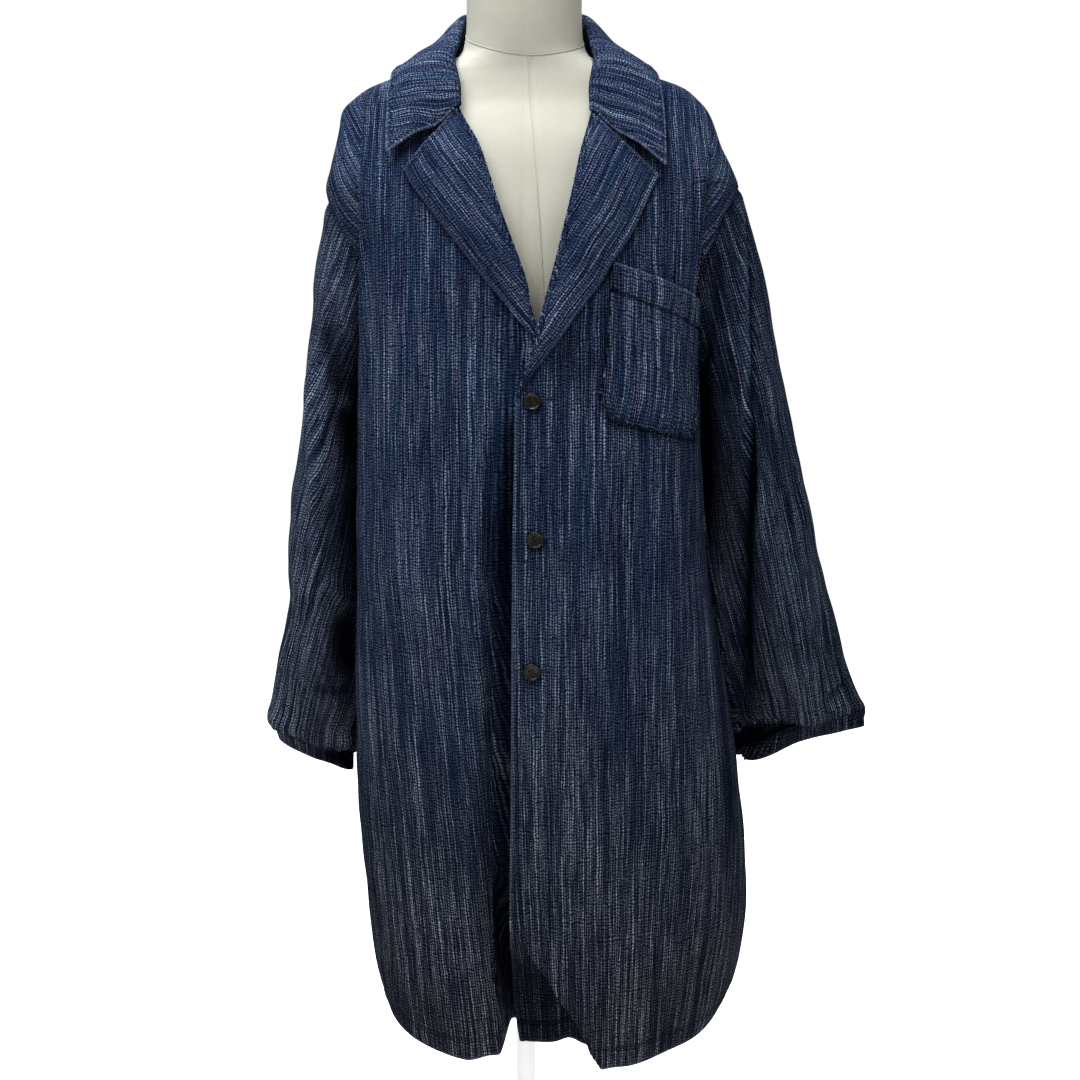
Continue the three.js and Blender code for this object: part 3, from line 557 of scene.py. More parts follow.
def crinkle_group():
    """Short uneven ribs across the cloth and fine cords along it, each as a height from 0 to 1."""
    tree, given, made = group(
        "crinkled_weave",
        [("Across", "Float", 0.0), ("Along", "Float", 0.0), ("Rib Pitch", "Float", 2.6)],
        [("Ribs", "Float"), ("Cords", "Float")],
    )
    across, along, pitch = given.outputs[0], given.outputs[1], given.outputs[2]
    wander = noise(tree, across, along, 5.5, 9, 1.0, 0.5, 3.1)
    waved = maths(tree, "ADD", along, maths(tree, "MULTIPLY", wander, 7.0))
    wave = maths(tree, "SINE", maths(tree, "MULTIPLY", maths(tree, "DIVIDE", waved, pitch), 2 * math.pi))
    broken = noise(tree, across, waved, 1.7, 1.5, 1.0, 0.5, 7.7)
    ribs = maths(tree, "ADD", maths(tree, "MULTIPLY", wave, 0.24), broken)
    tree.links.new(ramp(tree, ribs, 0.12, 0.88), made.inputs[0])
    drift = noise(tree, across, along, 10, 170, 2.0, 0.5, 11.3)
    bent = maths(tree, "ADD", across, maths(tree, "MULTIPLY", drift, 7.0))
    cord = maths(tree, "SINE", maths(tree, "MULTIPLY", bent, 2 * math.pi / 2.5))
    tree.links.new(ramp(tree, cord, -0.7, 0.8), made.inputs[1])
    return tree


CRINKLE = crinkle_group()


def kasuri_group():
    """Pale broken warp streaks on indigo. The two coordinates are millimetres across and along the warp."""
    tree, given, made = group(
        "kasuri_streaks",
        [("Across", "Float", 0.0), ("Along", "Float", 0.0), ("Amount", "Float", 1.0)],
        [("Streaks", "Float"), ("Tone", "Float")],
    )
    across, along, amount = given.outputs[0], given.outputs[1], given.outputs[2]
    sway = noise(tree, across, along, 24, 90, 1.0, 0.5, 91.0)
    across = maths(tree, "ADD", across, maths(tree, "MULTIPLY", sway, 5.0))
    bold = ramp(tree, noise(tree, across, along, 2.9, 190, 3.0, 0.6, 0.0), 0.49, 0.62)
    fine = ramp(tree, noise(tree, across, along, 1.25, 80, 2.0, 0.6, 21.0), 0.44, 0.62)
    crowd = ramp(tree, noise(tree, across, along, 13, 300, 2.0, 0.55, 40.0), 0.36, 0.60, 0.42, 1.05)
    dashes = ramp(tree, noise(tree, across, along, 1.9, 20, 2.0, 0.6, 60.0), 0.32, 0.54, 0.35, 1.0)
    streaks = maths(tree, "MAXIMUM", bold, maths(tree, "MULTIPLY", fine, 0.53))
    streaks = maths(tree, "MULTIPLY", maths(tree, "MULTIPLY", streaks, crowd), dashes)
    tree.links.new(maths(tree, "MULTIPLY", streaks, amount, clamp=True), made.inputs[0])
    tree.links.new(noise(tree, across, along, 6, 180, 2.0, 0.6, 80.0), made.inputs[1])
    return tree


KASURI = kasuri_group()


def new_material(name):
    material = bpy.data.materials.new(name)
    material.use_nodes = True
    tree = material.node_tree
    tree.nodes.clear()
    output = tree.nodes.new("ShaderNodeOutputMaterial")
    shader = tree.nodes.new("ShaderNodeBsdfPrincipled")
    tree.links.new(shader.outputs[0], output.inputs[0])
    return material, tree, shader


def kasuri_material(name, shift=(0, 0), rib_pitch=3.1, streak=1.0, ground_painted_light=1.0):
    """The coat's cloth. shift moves the pattern, so that no two pieces are cut from the same place."""
    material, tree, shader = new_material(name)
    place = add_node(tree, "UVMap", uv_map="cloth")
    apart = add_node(tree, "SeparateXYZ", {0: place.outputs[0]})
    across = maths(tree, "MULTIPLY_ADD", apart.outputs[0], 1000.0)
    across.node.inputs[2].default_value = shift[0]
    along = maths(tree, "MULTIPLY_ADD", apart.outputs[1], 1000.0)
    along.node.inputs[2].default_value = shift[1]
    wobble = noise(tree, across, along, 7, 13, 2.0, 0.6, 33.0)
    across = maths(tree, "ADD", across, maths(tree, "MULTIPLY", wobble, 2.3))
    weave = add_node(tree, "Group", node_tree=CRINKLE)
    weave.inputs["Rib Pitch"].default_value = rib_pitch
    pattern = add_node(tree, "Group", node_tree=KASURI)
    pattern.inputs["Amount"].default_value = streak
    for node in (weave, pattern):
        tree.links.new(across, node.inputs[0])
        tree.links.new(along, node.inputs[1])
    ribs, cords = weave.outputs[0], weave.outputs[1]
    streaks, tone = pattern.outputs[0], pattern.outputs[1]
    # Lower down, the ground and the pale warp turn greyer.
    greyer_below = add_node(tree, "Attribute", attribute_name="greyer_below").outputs["Fac"]
    dyed = ramp(tree, tone, 0.35, 0.65)
    ground = blend(tree, dyed, (0.0008, 0.0038, 0.0165, 1), (0.0030, 0.0092, 0.0300, 1))
    ground = blend(tree, greyer_below, ground, (0.0011, 0.0025, 0.0066, 1))
    # Pieces that hang in shadow get a darker ground: painted shade.
    ground = blend(tree, 1.0, ground, (ground_painted_light, ground_painted_light, ground_painted_light, 1), "MULTIPLY")
    pale = blend(tree, ramp(tree, tone, 0.40, 0.60), (0.160, 0.175, 0.265, 1), (0.138, 0.182, 0.235, 1))
    pale = blend(tree, greyer_below, pale, (0.142, 0.150, 0.176, 1))
    pale_edges_and_painted_light = add_node(tree, "Attribute", attribute_name="pale_edges_and_painted_light").outputs["Fac"]
    # The pale warp shows less in the troughs between the ribs and cords: partly the weave, partly painted
    # shade.
    relief = maths(tree, "MULTIPLY", ramp(tree, ribs, 0.1, 0.7, 0.4, 1.0), ramp(tree, cords, 0, 1, 0.12, 1.0))
    lit = maths(tree, "MULTIPLY", relief, maths(tree, "ADD", streaks, 0.05))
    # Paler edges, and painted light on the sleeves' fold ridges, raise the pale share.
    lit = maths(tree, "MAXIMUM", lit, maths(tree, "MULTIPLY", pale_edges_and_painted_light, 0.26), clamp=True)
    colour = blend(tree, lit, ground, pale)
    # Painted shade: the shade attribute darkens the colour towards near-black in folds, hollows, stitched
    # grooves, under edges and round the buttons.
    shade = add_node(tree, "Attribute", attribute_name="shade").outputs["Fac"]
    colour = blend(tree, maths(tree, "MULTIPLY", shade, 0.9, clamp=True), colour, (0.0005, 0.001, 0.003, 1))
    # Painted shade in the troughs of the crinkle ribs and painted light on their crests.
    rib_painted_light = ramp(tree, ribs, 0.1, 0.9, 0.5, 1.3)
    rib_painted_light = add_node(tree, "CombineColor", {0: rib_painted_light, 1: rib_painted_light, 2: rib_painted_light}).outputs[0]
    colour = blend(tree, 1.0, colour, rib_painted_light, "MULTIPLY")
    tree.links.new(colour, shader.inputs["Base Color"])
    tree.links.new(ramp(tree, ribs, 0.2, 0.9, 0.98, 0.85), shader.inputs["Roughness"])
    shader.inputs["Specular IOR Level"].default_value = 0.0
    height = maths(tree, "ADD", ribs, maths(tree, "MULTIPLY", cords, 0.6))
    height = maths(tree, "ADD", height, maths(tree, "MULTIPLY", streaks, 0.25))
    bump = add_node(tree, "Bump", {"Height": height, "Strength": 1.0, "Distance": 0.45 * MM})
    tree.links.new(bump.outputs[0], shader.inputs["Normal"])
    return material


def linen_material():
    """The form's cover: a fine plain weave in cream, slightly uneven."""
    material, tree, shader = new_material("linen")
    place = add_node(tree, "UVMap", uv_map="cloth")
    apart = add_node(tree, "SeparateXYZ", {0: place.outputs[0]})
    across = maths(tree, "MULTIPLY", apart.outputs[0], 1000.0)
    along = maths(tree, "MULTIPLY", apart.outputs[1], 1000.0)
    slub_across = noise(tree, across, along, 0.7, 14, 2.0, 0.6, 5.0)
    slub_along = noise(tree, across, along, 14, 0.7, 2.0, 0.6, 9.0)
    weave = maths(tree, "ADD", slub_across, slub_along)
    cloud = noise(tree, across, along, 60, 60, 3.0, 0.6, 2.0)
    light = blend(tree, ramp(tree, cloud, 0.3, 0.7), (0.288, 0.272, 0.228, 1), (0.322, 0.306, 0.259, 1))
    colour = blend(tree, ramp(tree, weave, 0.8, 1.25), (0.295, 0.278, 0.23, 1), light)
    tree.links.new(colour, shader.inputs["Base Color"])
    tree.links.new(ramp(tree, weave, 0.7, 1.3, 0.92, 0.8), shader.inputs["Roughness"])
    shader.inputs["Specular IOR Level"].default_value = 0.25
    bump = add_node(tree, "Bump", {"Height": weave, "Strength": 0.6, "Distance": 0.25 * MM})
    tree.links.new(bump.outputs[0], shader.inputs["Normal"])
    return material


def horn_material():
    """Dark brown buttons, polished, with faint streaks."""
    material, tree, shader = new_material("horn")
    place = add_node(tree, "TexCoord").outputs["Object"]
    streak = add_node(tree, "TexNoise", {"Vector": place, "Scale": 260.0, "Detail": 4.0}).outputs[0]
    speck = add_node(tree, "TexNoise", {"Vector": place, "Scale": 1500.0, "Detail": 2.0}).outputs[0]
    colour = blend(tree, ramp(tree, streak, 0.4, 0.7), (0.003, 0.0026, 0.0022, 1), (0.010, 0.008, 0.006, 1))
    tree.links.new(colour, shader.inputs["Base Color"])
    tree.links.new(ramp(tree, speck, 0.3, 0.7, 0.16, 0.28), shader.inputs["Roughness"])
    shader.inputs["Specular IOR Level"].default_value = 0.2
    bump = add_node(tree, "Bump", {"Height": speck, "Strength": 0.1, "Distance": 0.1 * MM})
    tree.links.new(bump.outputs[0], shader.inputs["Normal"])
    return material


def thread_material(name, colour):
    material, tree, shader = new_material(name)
    place = add_node(tree, "TexCoord").outputs["Object"]
    twist = add_node(tree, "TexNoise", {"Vector": place, "Scale": 1800.0, "Detail": 2.0}).outputs[0]
    light = tuple(1.6 * c + 0.002 for c in colour)
    mixed = blend(tree, ramp(tree, twist, 0.35, 0.65), (*colour, 1), (*light, 1))
    tree.links.new(mixed, shader.inputs["Base Color"])
    tree.links.new(ramp(tree, twist, 0.3, 0.7, 0.6, 0.8), shader.inputs["Roughness"])
    shader.inputs["Specular IOR Level"].default_value = 0.1
    return material


def painted_material():
    """Satin off-white paint with a faint orange-peel and dust."""
    material, tree, shader = new_material("stand_paint")
    place = add_node(tree, "TexCoord").outputs["Object"]
    peel = add_node(tree, "TexNoise", {"Vector": place, "Scale": 420.0, "Detail": 2.0}).outputs[0]
    cloud = add_node(tree, "TexNoise", {"Vector": place, "Scale": 9.0, "Detail": 4.0}).outputs[0]
    colour = blend(tree, ramp(tree, cloud, 0.35, 0.7), (0.80, 0.79, 0.77, 1), (0.86, 0.85, 0.83, 1))
    tree.links.new(colour, shader.inputs["Base Color"])
    tree.links.new(ramp(tree, cloud, 0.3, 0.7, 0.28, 0.42), shader.inputs["Roughness"])
    bump = add_node(tree, "Bump", {"Height": peel, "Strength": 0.25, "Distance": 0.15 * MM})
    tree.links.new(bump.outputs[0], shader.inputs["Normal"])
    return material


THREAD = thread_material("indigo_thread", (0.006, 0.011, 0.026))
LINEN_THREAD = thread_material("linen_thread", (0.24, 0.225, 0.185))
HOLE_THREAD = thread_material("buttonhole_thread", (0.020, 0.034, 0.070))
HORN_THREAD = thread_material("button_thread", (0.010, 0.010, 0.014))
# A near-black tube painted as the shadow inside each buttonhole's cut.
SLIT_SHADOW_MATERIAL = thread_material("painted_slit_shadow", (0.0015, 0.002, 0.004))

# ---- creases ------------------------------------------------------------------------------------
# x and height of each end, how far the line bows, half-width, and how far it stands out (mm).
FRONT_CREASES = {
    "left": (
        (30, 1090, 60, 900, 5, 22, -1.6),
        (95, 1040, 120, 700, -8, 26, -2.6),
        (60, 960, 70, 560, 6, 20, 2.0),
        (150, 1180, 158, 820, 6, 15, 2.4),
        (172, 1200, 176, 900, 4, 10, -3.2),
        (20, 1110, 75, 1070, 4, 9, -1.6),
        (24, 1100, 62, 1122, 3, 7, 1.2),
        (22, 982, 70, 1012, 4, 10, -1.6),
        (24, 972, 74, 966, 3, 8, 1.2),
        (22, 848, 66, 882, 4, 10, -1.4),
        (140, 700, 190, 520, -10, 24, 2.8),
        (180, 1010, 205, 700, -8, 18, -3.2),
        (186, 1345, 170, 1190, 0, 4.5, 3.2),
        (194, 1340, 179, 1195, 0, 5, -4.6),
        (208, 1330, 192, 1250, 3, 6, 1.8),
        (78, 1202, 22, 1128, -4, 9, -4.5),
        (84.5, 1240, 73, 1096, 0, 2.6, -1.6),
        (82, 1082, 178, 1061.5, 0, 2.8, -2.4),
        (110, 1300, 128, 1240, 3, 14, -1.6),
    ),
    "right": (
        (-60, 1230, -70, 800, 6, 24, -1.8),
        (-110, 1300, -118, 900, 5, 24, 1.8),
        (-150, 1250, -152, 700, 4, 16, -2.2),
        (-25, 1080, -25, 500, 0, 13, -9.5),
        (-44, 1060, -46, 560, 3, 9, 2.0),
        (-90, 820, -76, 460, 6, 24, 2.6),
        (-130, 760, -122, 480, 6, 20, -2.4),
        (-161, 1362, -169, 1150, 0, 4.5, 3.4),
        (-169, 1352, -177, 1155, 0, 5, -4.6),
        (-188, 1330, -184, 1240, 3, 6, 1.8),
        (-40, 1150, -70, 1230, 4, 12, -1.6),
    ),
}
BACK_CREASES = (
    (-60, 1330, -75, 900, 8, 26, -2.2),
    (50, 1330, 72, 860, -8, 26, -2.4),
    (0, 1200, 6, 620, 6, 30, 2.2),
    (-120, 1260, -135, 760, 6, 22, 2.4),
    (125, 1240, 140, 720, -6, 22, 2.4),
    (-150, 1320, -90, 1400, 8, 16, -2.4),
    (150, 1320, 95, 1400, -8, 16, -2.4),
    (100, 760, 116, 470, 6, 22, -2.6),
    (-100, 720, -110, 470, -6, 22, -2.6),
)


SIDE_FROM = 140  # beyond this the fronts turn round the side
CURL_FROM = -27  # beyond this the right front dips towards the closing edge
# The fold where each front's face ends below the shoulder: x and height of both ends.
PANEL_FOLD = {"left": (186, 1345, 170, 1190), "right": (-161, 1362, -169, 1150)}
FRONT_ROWS = ((HEM_Z, 1040, 150), (1040, 1262, 92), (1262, NECK_Z, 58))  # from, to, rows
FRONT_COLUMNS = 132
BACK_ROWS, BACK_COLUMNS = 250, 168
LEVEL_Z = 900  # the height whose own width lays out a front's stripes
FRONT_SHOULDER_Z = 1300  # above this a front's length is counted over the shoulder
BACK_SHOULDER_Z = 1340


def front_panel(side):
    left = side == "left"
    sign = 1 if left else -1
    surface, edge = FRONT[side], EDGE[side]
    spans = [np.linspace(*span) for span in FRONT_ROWS]
    z = np.concatenate([spans[0], *(span[1:] for span in spans[1:])])[:, None]
    gap = SEAM / 2 / reach(BODY, z, sign * math.pi / 2)
    outer = sign * (math.pi / 2 - gap - opening(side, "front", z))
    tuck = 3.2 * smooth((z - LAPEL[side]["z"][0]) / 45)
    inner = angle_of(at(edge, "x", z) + sign * tuck, z)
    t = np.linspace(0, 1, FRONT_COLUMNS)[None, :] ** 1.15
    grid = surface(mix(inner, outer, t), z + 0 * t)
    if not left:
        grid = grid[:, ::-1]
    x, height = grid[..., 0], grid[..., 2]
    across = arc(grid, 1)
    if not left:
        across = across[:, -1:] - across
    out = creased(FRONT_CREASES[side], x, height)
    out += 0.45 * uneven(x, height, 38, 11 if left else 12) * smooth(across / 20)
    out += hem_relief(height - HEM_Z, across, 3 if left else 4)
    if left:
        out += edge_relief(across) * smooth((1120 - height) / 20)
        for button_x, button_z in BUTTONS:
            out += buttonhole_relief(x - button_x, height - button_z)
    else:
        out -= 13 * smooth((x + 46) / 28) * smooth((1090 - height) / 120) * smooth((height - 470) / 120)
    uv = warp_lines(grid, across, side)
    normals = grid_normals(grid)
    grid = grid + normals * out[..., None]
    grid[..., 2] += hem_drop(side, x) * smooth((560 - height) / 120)
    pale_edges_and_painted_light = 0.8 * bell(across / 2.2) * smooth((1150 - height) / 60) * left + bell((height - HEM_Z) / 1.6)
    shade = 0.5 * bell((height - HEM_Z - HEM_DEPTH) / 2.2) + 0.16 * bell((height - 985) / 120)
    shade = shade + round_lapel(side, x, height) + np.maximum(0, creased(FRONT_SHADES[side], x, height))
    if left:
        for button_x, button_z in BUTTONS:
            shade = shade + 0.75 * bell((np.hypot(x - button_x - 1, height - button_z + 2) - 8) / 3)
        shade = shade + 0.45 * bell((across - EDGE_STITCH) / 1.4) * smooth((1112 - height) / 10)
        shade = shade + round_pocket(x, height) + 0.6 * turned_corner(x + 1.5, height)
    else:
        valley = smooth((x + 28) / 11) * smooth((1126 - height) / 50) * smooth((height - 450) / 40)
        shade = shade + 0.88 * valley
    rows = [line_where(height - HEM_Z, HEM_DEPTH, grid, normals, 0)]
    if left:
        below = height[:, 0] < 1118
        rows.append(line_where(across[below], EDGE_STITCH, grid[below], normals[below], 1))
    sew("front_" + side, rows)
    return shell("cloth_front_" + side, grid, uv, pale_edges_and_painted_light, CLOTH, [FRONT_CLOTH[side]], shade)


def round_pocket(x, z):
    """How deeply the front is shaded close round the pocket: most below it, least along its mouth."""
    corners = [POCKET[k] for k in ("low_in", "low_out", "top_out", "top_in")]
    outside, depth, sides = np.full_like(x, -1e3), np.zeros_like(x), []
    for (ax, az), (bx, bz), amount in zip(corners, corners[1:] + corners[:1], (1.0, 0.55, 0.35, 0.75)):
        run = math.hypot(bx - ax, bz - az)
        away = ((x - ax) * (bz - az) - (z - az) * (bx - ax)) / run
        depth = np.where(away > outside, amount, depth)
        outside = np.maximum(outside, away)
        sides.append(np.maximum(0, away + POCKET_ROUND))
    low, inner = sides[0], sides[3]
    corner = np.where((low > 0) & (inner > 0), np.hypot(low, inner) - POCKET_ROUND, outside)
    outside = np.maximum(outside, corner)
    return 0.9 * depth * bell((outside - 1) / 3.0) * smooth((outside + 3) / 2)


# Where the fronts turn from the light: both ends of each band, its bow, its width and how dark it is.
FRONT_SHADES = {
    "left": (
        (204, 940, 226, 610, 0, 9, 0.5),
        (188, 1130, 200, 960, 0, 5, 0.35),
        (150, 900, 176, 560, 4, 8, 0.16),
        (96, 1010, 104, 760, -4, 12, 0.14),
    ),
    "right": (
        (-66, 1120, -76, 860, 3, 10, 0.16),
        (-128, 900, -118, 640, 4, 14, 0.14),
        (-176, 760, -168, 520, 2, 9, 0.22),
    ),
}


def round_lapel(side, x, z):
    """Shade close beyond a lapel's outer edge, and in the notch between it and the collar."""
    sign = 1 if side == "left" else -1
    low, tip = LAPEL[side]["z"][0], LAPEL_TOP[side]["tip"]
    beyond = sign * (x - at(LAPEL[side], "x", np.clip(z, low, tip[1])))
    beside = 0.6 * bell((beyond - 1) / 5) * smooth((beyond + 5) / 3) * smooth((z - low + 8) / 10)
    beside = beside * smooth((tip[1] + 2 - z) / 8)
    if side == "left":
        hollow = 0.5 * bell((x - 52) / 32) * bell((z - 1150) / 42) * smooth(beyond / 6)
    else:
        hollow = 0.45 * bell((x + 12) / 15) * bell((z - 1168) / 42) * smooth(beyond / 5)
    notch = NOTCH_SHADE[side]
    across = (x - notch[0]) * notch[2] + (z - notch[1]) * notch[3]
    along = (z - notch[1]) * notch[2] - (x - notch[0]) * notch[3]
    return beside + hollow + notch[4] * bell(across / 9) * bell(along / 24)


# Middle of each notch, the direction across it, and how dark it is.
NOTCH_SHADE = {"left": (117, 1355, 0.6, 0.8, 0.9), "right": (-104, 1362, -0.5, 0.87, 0.6)}


def hem_drop(side, x):
    """The front hems hang lowest a hand's width from the closure, and rise again beside it."""
    if side == "left":
        return 7 * bell((x - 48) / 12) + 2.5 * bell((x - 90) / 14)
    return 7 * smooth((x + 60) / 26)


def buttonhole_relief(x, z):
    """The cloth puckers below a buttonhole and opens a little along it."""
    along = smooth((x - 2) / 6) * smooth((32 - x) / 8)
    return along * (1.3 * bell((z + 5.5) / 2.4) - 1.5 * bell((z - 1.5) / 1.6) + 0.5 * bell((z - 6) / 2.5))


def hem_relief(height, along, seed):
    """The doubled cloth of a hem stands out a little, with a puckered groove where it is stitched."""
    pucker = 0.5 * uneven(along, height * 0.4, 7, seed)
    doubled = 0.7 * smooth((HEM_DEPTH + 2 - height) / 4)
    groove = -(1.1 + 0.5 * pucker) * bell((height - HEM_DEPTH) / 1.8)
    return doubled + groove + pucker * bell((height - HEM_DEPTH) / 9)


def cuff_relief(rise, along, tuck, sag, seed, rolled):
    """Above its hem the sleeve sags into a roll; the hem band under it is drawn in and puckered."""
    wander = 4 * uneven(along, 0 * along, 40, seed + 7) - sag
    pucker = uneven(along, rise * 0.3, 7, seed)
    band = smooth((HEM_DEPTH + 4 + wander - rise) / 6)
    roll = 4.5 * rolled * bell((rise - HEM_DEPTH - 12 - wander) / 9)
    groove = -1.6 * rolled * bell((rise - HEM_DEPTH + 1) / 2)
    return roll - tuck * band + groove + 0.9 * pucker * bell((rise - HEM_DEPTH) / 12)


def edge_relief(inset):
    """A turned and stitched edge: a rounded band with a groove under the stitches."""
    return -1.1 * bell((inset - EDGE_STITCH) / 1.4) + 0.6 * bell((inset - 2.6) / 2.2)


def warp_lines(grid, across, side):
    """Where each point of a front lies on its cut cloth: across the warp and along it."""
    sign = 1 if side == "left" else -1
    x, y, z = grid[..., 0], grid[..., 1], grid[..., 2]
    reference = int(np.argmin(np.abs(z[:, 0] - LEVEL_Z)))
    order = np.argsort(x[reference])
    ref_x, ref_u = x[reference][order], (sign * across)[reference][order]
    shoulder = int(np.argmin(np.abs(z[:, 0] - FRONT_SHOULDER_Z)))
    order = np.argsort(x[shoulder])
    ref_y = np.interp(x, x[shoulder][order], y[shoulder][order])
    face_x = np.clip(x, -SIDE_FROM, SIDE_FROM)
    if sign < 0:
        face_x = np.minimum(face_x, CURL_FROM)
    u = np.interp(face_x, ref_x, ref_u) + face_x - np.clip(face_x, ref_x[0], ref_x[-1])
    if sign < 0:
        start = [np.interp(CURL_FROM, row, gone) for row, gone in zip(x, across)]
        u = u + 0.5 * np.maximum(0, np.array(start)[:, None] - across) * (x > CURL_FROM)
    # Round the side the cloth's own width counts.
    start = [np.interp(SIDE_FROM, sign * row[::sign], gone[::sign]) for row, gone in zip(x, across)]
    u = u + sign * np.maximum(0, across - np.array(start)[:, None])
    over = FRONT_SHOULDER_Z + np.hypot(z - FRONT_SHOULDER_Z, y - ref_y)
    v = np.where(z > FRONT_SHOULDER_Z, over, z)
    low = np.maximum(0, 760 - z)
    if sign > 0:
        u = u + (x - 75) * low * low * 2.3e-6
    else:
        u = u - 0.1 * np.maximum(0, 935 - z)
    # Beyond the fold that runs down from the shoulder, the cloth turns and its stripes slope.
    top_x, top_z, low_x, low_z = PANEL_FOLD[side]
    fold = top_x + (low_x - top_x) * (top_z - z) / (top_z - low_z)
    turned = smooth((sign * (x - fold) - 4) / 2.5) * smooth((z - 1170) / 12)
    u = u - sign * 0.72 * (z - 1350) * turned
    return np.stack([u, v], -1)


def line_where(field, level, grid, normals, axis):
    """The line across a grid where a field that changes along the axis passes a level, with its normals."""
    if axis == 0:
        field, grid, normals = field.T, grid.swapaxes(0, 1), normals.swapaxes(0, 1)
    points, outs = [], []
    for values, place, normal in zip(field, grid, normals):
        crossed = np.nonzero(np.diff(np.sign(values - level)))[0]
        if len(crossed) == 0:
            continue
        k = crossed[0]
        t = (level - values[k]) / (values[k + 1] - values[k])
        points.append(mix(place[k], place[k + 1], t))
        outs.append(mix(normal[k], normal[k + 1], t))
    return np.array(points), np.array(outs)


SEWN = {}


def sew(name, lines):
    """Keeps the rows of stitches of a piece, to be made once all the cloth is."""
    SEWN[name] = [s for points, outs in lines if len(points) > 3 for s in stitches(points, outs)]


def back_panel():
    z = np.linspace(HEM_Z, NECK_Z, BACK_ROWS)[:, None]
    gap = SEAM / 2 / reach(BODY, z, math.pi / 2)
    start = math.pi / 2 + gap + opening("left", "back", z)
    end = 1.5 * math.pi - gap - opening("right", "back", z)
    t = np.linspace(0, 1, BACK_COLUMNS)[None, :]
    turn = mix(start, end, t)
    grid = body(turn, z + 0 * t)
    x, height = grid[..., 0], np.broadcast_to(z, grid.shape[:2])
    across = arc(grid, 1)
    out = creased(BACK_CREASES, x, height) + 0.5 * uneven(x, height, 42, 13)
    out += hem_relief(height - HEM_Z, across, 5)
    # The cloth's own centre line, which stays put where one armhole starts above the other.
    middle = np.array([[np.interp(math.pi, *row)] for row in zip(turn, across)])
    u = -(across - middle)
    shoulder = int(np.argmin(np.abs(z[:, 0] - BACK_SHOULDER_Z)))
    ref_y, ref_z = grid[shoulder, :, 1], z[shoulder, 0]
    v = np.where(height > ref_z, ref_z + np.hypot(height - ref_z, grid[..., 1] - ref_y), height)
    normals = grid_normals(grid)
    grid = grid + normals * out[..., None]
    pale_edges_and_painted_light = bell((height - HEM_Z) / 1.6)
    sew("back", [line_where(height - HEM_Z, HEM_DEPTH, grid, normals, 0)])
    return shell("cloth_back", grid, np.stack([u, v], -1), pale_edges_and_painted_light, CLOTH, [BACK_CLOTH])


def ring_at_armhole(side, turns, grow=0):
    """Points round the armhole, on the body's outer face, and the body's normals there."""
    sign = 1 if side == "left" else -1
    hole = ARMHOLE[side]
    height = hole["z"] + (hole["half"] - SEAM + grow) * np.cos(turns)
    front = np.sin(turns) > 0
    parts = [opening(side, part, height, SEAM - grow) for part in ("front", "back")]
    a = np.where(front, *parts) - (SEAM - grow) / reach(BODY, height, math.pi / 2)
    angle = sign * (math.pi / 2 - np.sign(np.sin(turns)) * np.maximum(0, a))
    across = body(angle + 0.02, height) - body(angle - 0.02, height)
    up = body(angle, height + 2) - body(angle, height - 2)
    return body(angle, height), unit(np.cross(across, up))


CUFF_RISE = {"left": 13, "right": 3}  # how far the front of each cuff is drawn up


def sleeve_rings(side, turns):
    """The armhole's ring and one ring for each station down the sleeve."""
    sign = 1 if side == "left" else -1
    rows = SLEEVE[side]
    inner = np.stack([rows["ix"], rows["iy"], rows["iz"]], -1)
    outer = np.stack([rows["ox"], rows["oy"], rows["oz"]], -1)
    middle, out = (inner + outer) / 2, (outer - inner) / 2
    count = len(middle)
    first = ring_at_armhole(side, turns)[0]
    top, low = first[0], ring_at_armhole(side, np.array([math.pi]))[0][0]
    rings = [first]
    for k in range(count):
        run = middle[min(count - 1, k + 1)] - middle[max(0, k - 1)]
        front = unit(np.cross(run, out[k])) * sign * rows["half"][k]
        share = (k + 1) / count
        fold = 0
        for turn, width, depth, start, end in SLEEVE_FOLDS[side]:
            off = np.arctan2(np.sin(turns - turn * DEG), np.cos(turns - turn * DEG))
            grow = smooth((share - start) / 0.18) * smooth((end - share) / 0.1 + 0.4)
            fold = fold + depth * grow * bell(off / (width * DEG))
        deep = np.sin(turns) + fold * np.sign(np.sin(turns))
        ring = middle[k] + np.cos(turns)[:, None] * out[k] + deep[:, None] * front
        ring[:, 2] += CUFF_RISE[side] * np.maximum(0, np.sin(turns)) * smooth((share - 0.8) / 0.15)
        keep = (0.5, 0.2)[k] if k < 2 else 0
        oval = mix(low, top, (1 + np.cos(turns))[:, None] / 2)
        oval[:, 1] -= rows["half"][k] * 0.9 * np.sin(turns)
        rings.append(ring + keep * (first - oval))
    return np.stack(rings)


SLEEVE_CREASES = {
    # x is millimetres round from the outer line towards the front, z is millimetres down from the armhole
    "left": (
        (40, 90, 52, 330, -4, 14, -1.8),
        (20, 240, 60, 420, 6, 14, 2.4),
        (70, 400, 64, 520, 4, 12, 2.2),
        (30, 430, 45, 530, 4, 10, -2.2),
        (60, 470, 96, 452, 4, 7, -2.4),
        (0, 60, 10, 300, 4, 18, 2.0),
        (-70, 60, -60, 300, 6, 18, -2.6),
        (-120, 120, -90, 420, -8, 16, 2.6),
        (-40, 300, -60, 500, 6, 14, -2.4),
    ),
    "right": (
        (60, 40, 34, 200, 6, 12, -2.4),
        (86, 40, 60, 240, 6, 12, 2.6),
        (76, 400, 112, 398, 4, 8, 2.2),
        (30, 420, 26, 520, 3, 8, -2.4),
        (96, 440, 86, 530, 4, 9, -3.4),
        (60, 462, 112, 458, 3, 7, -2.6),
        (-60, 60, -50, 300, 6, 18, -2.6),
        (-110, 150, -80, 430, -8, 16, 2.6),
        (-30, 320, -60, 500, 6, 14, -2.4),
    ),
}
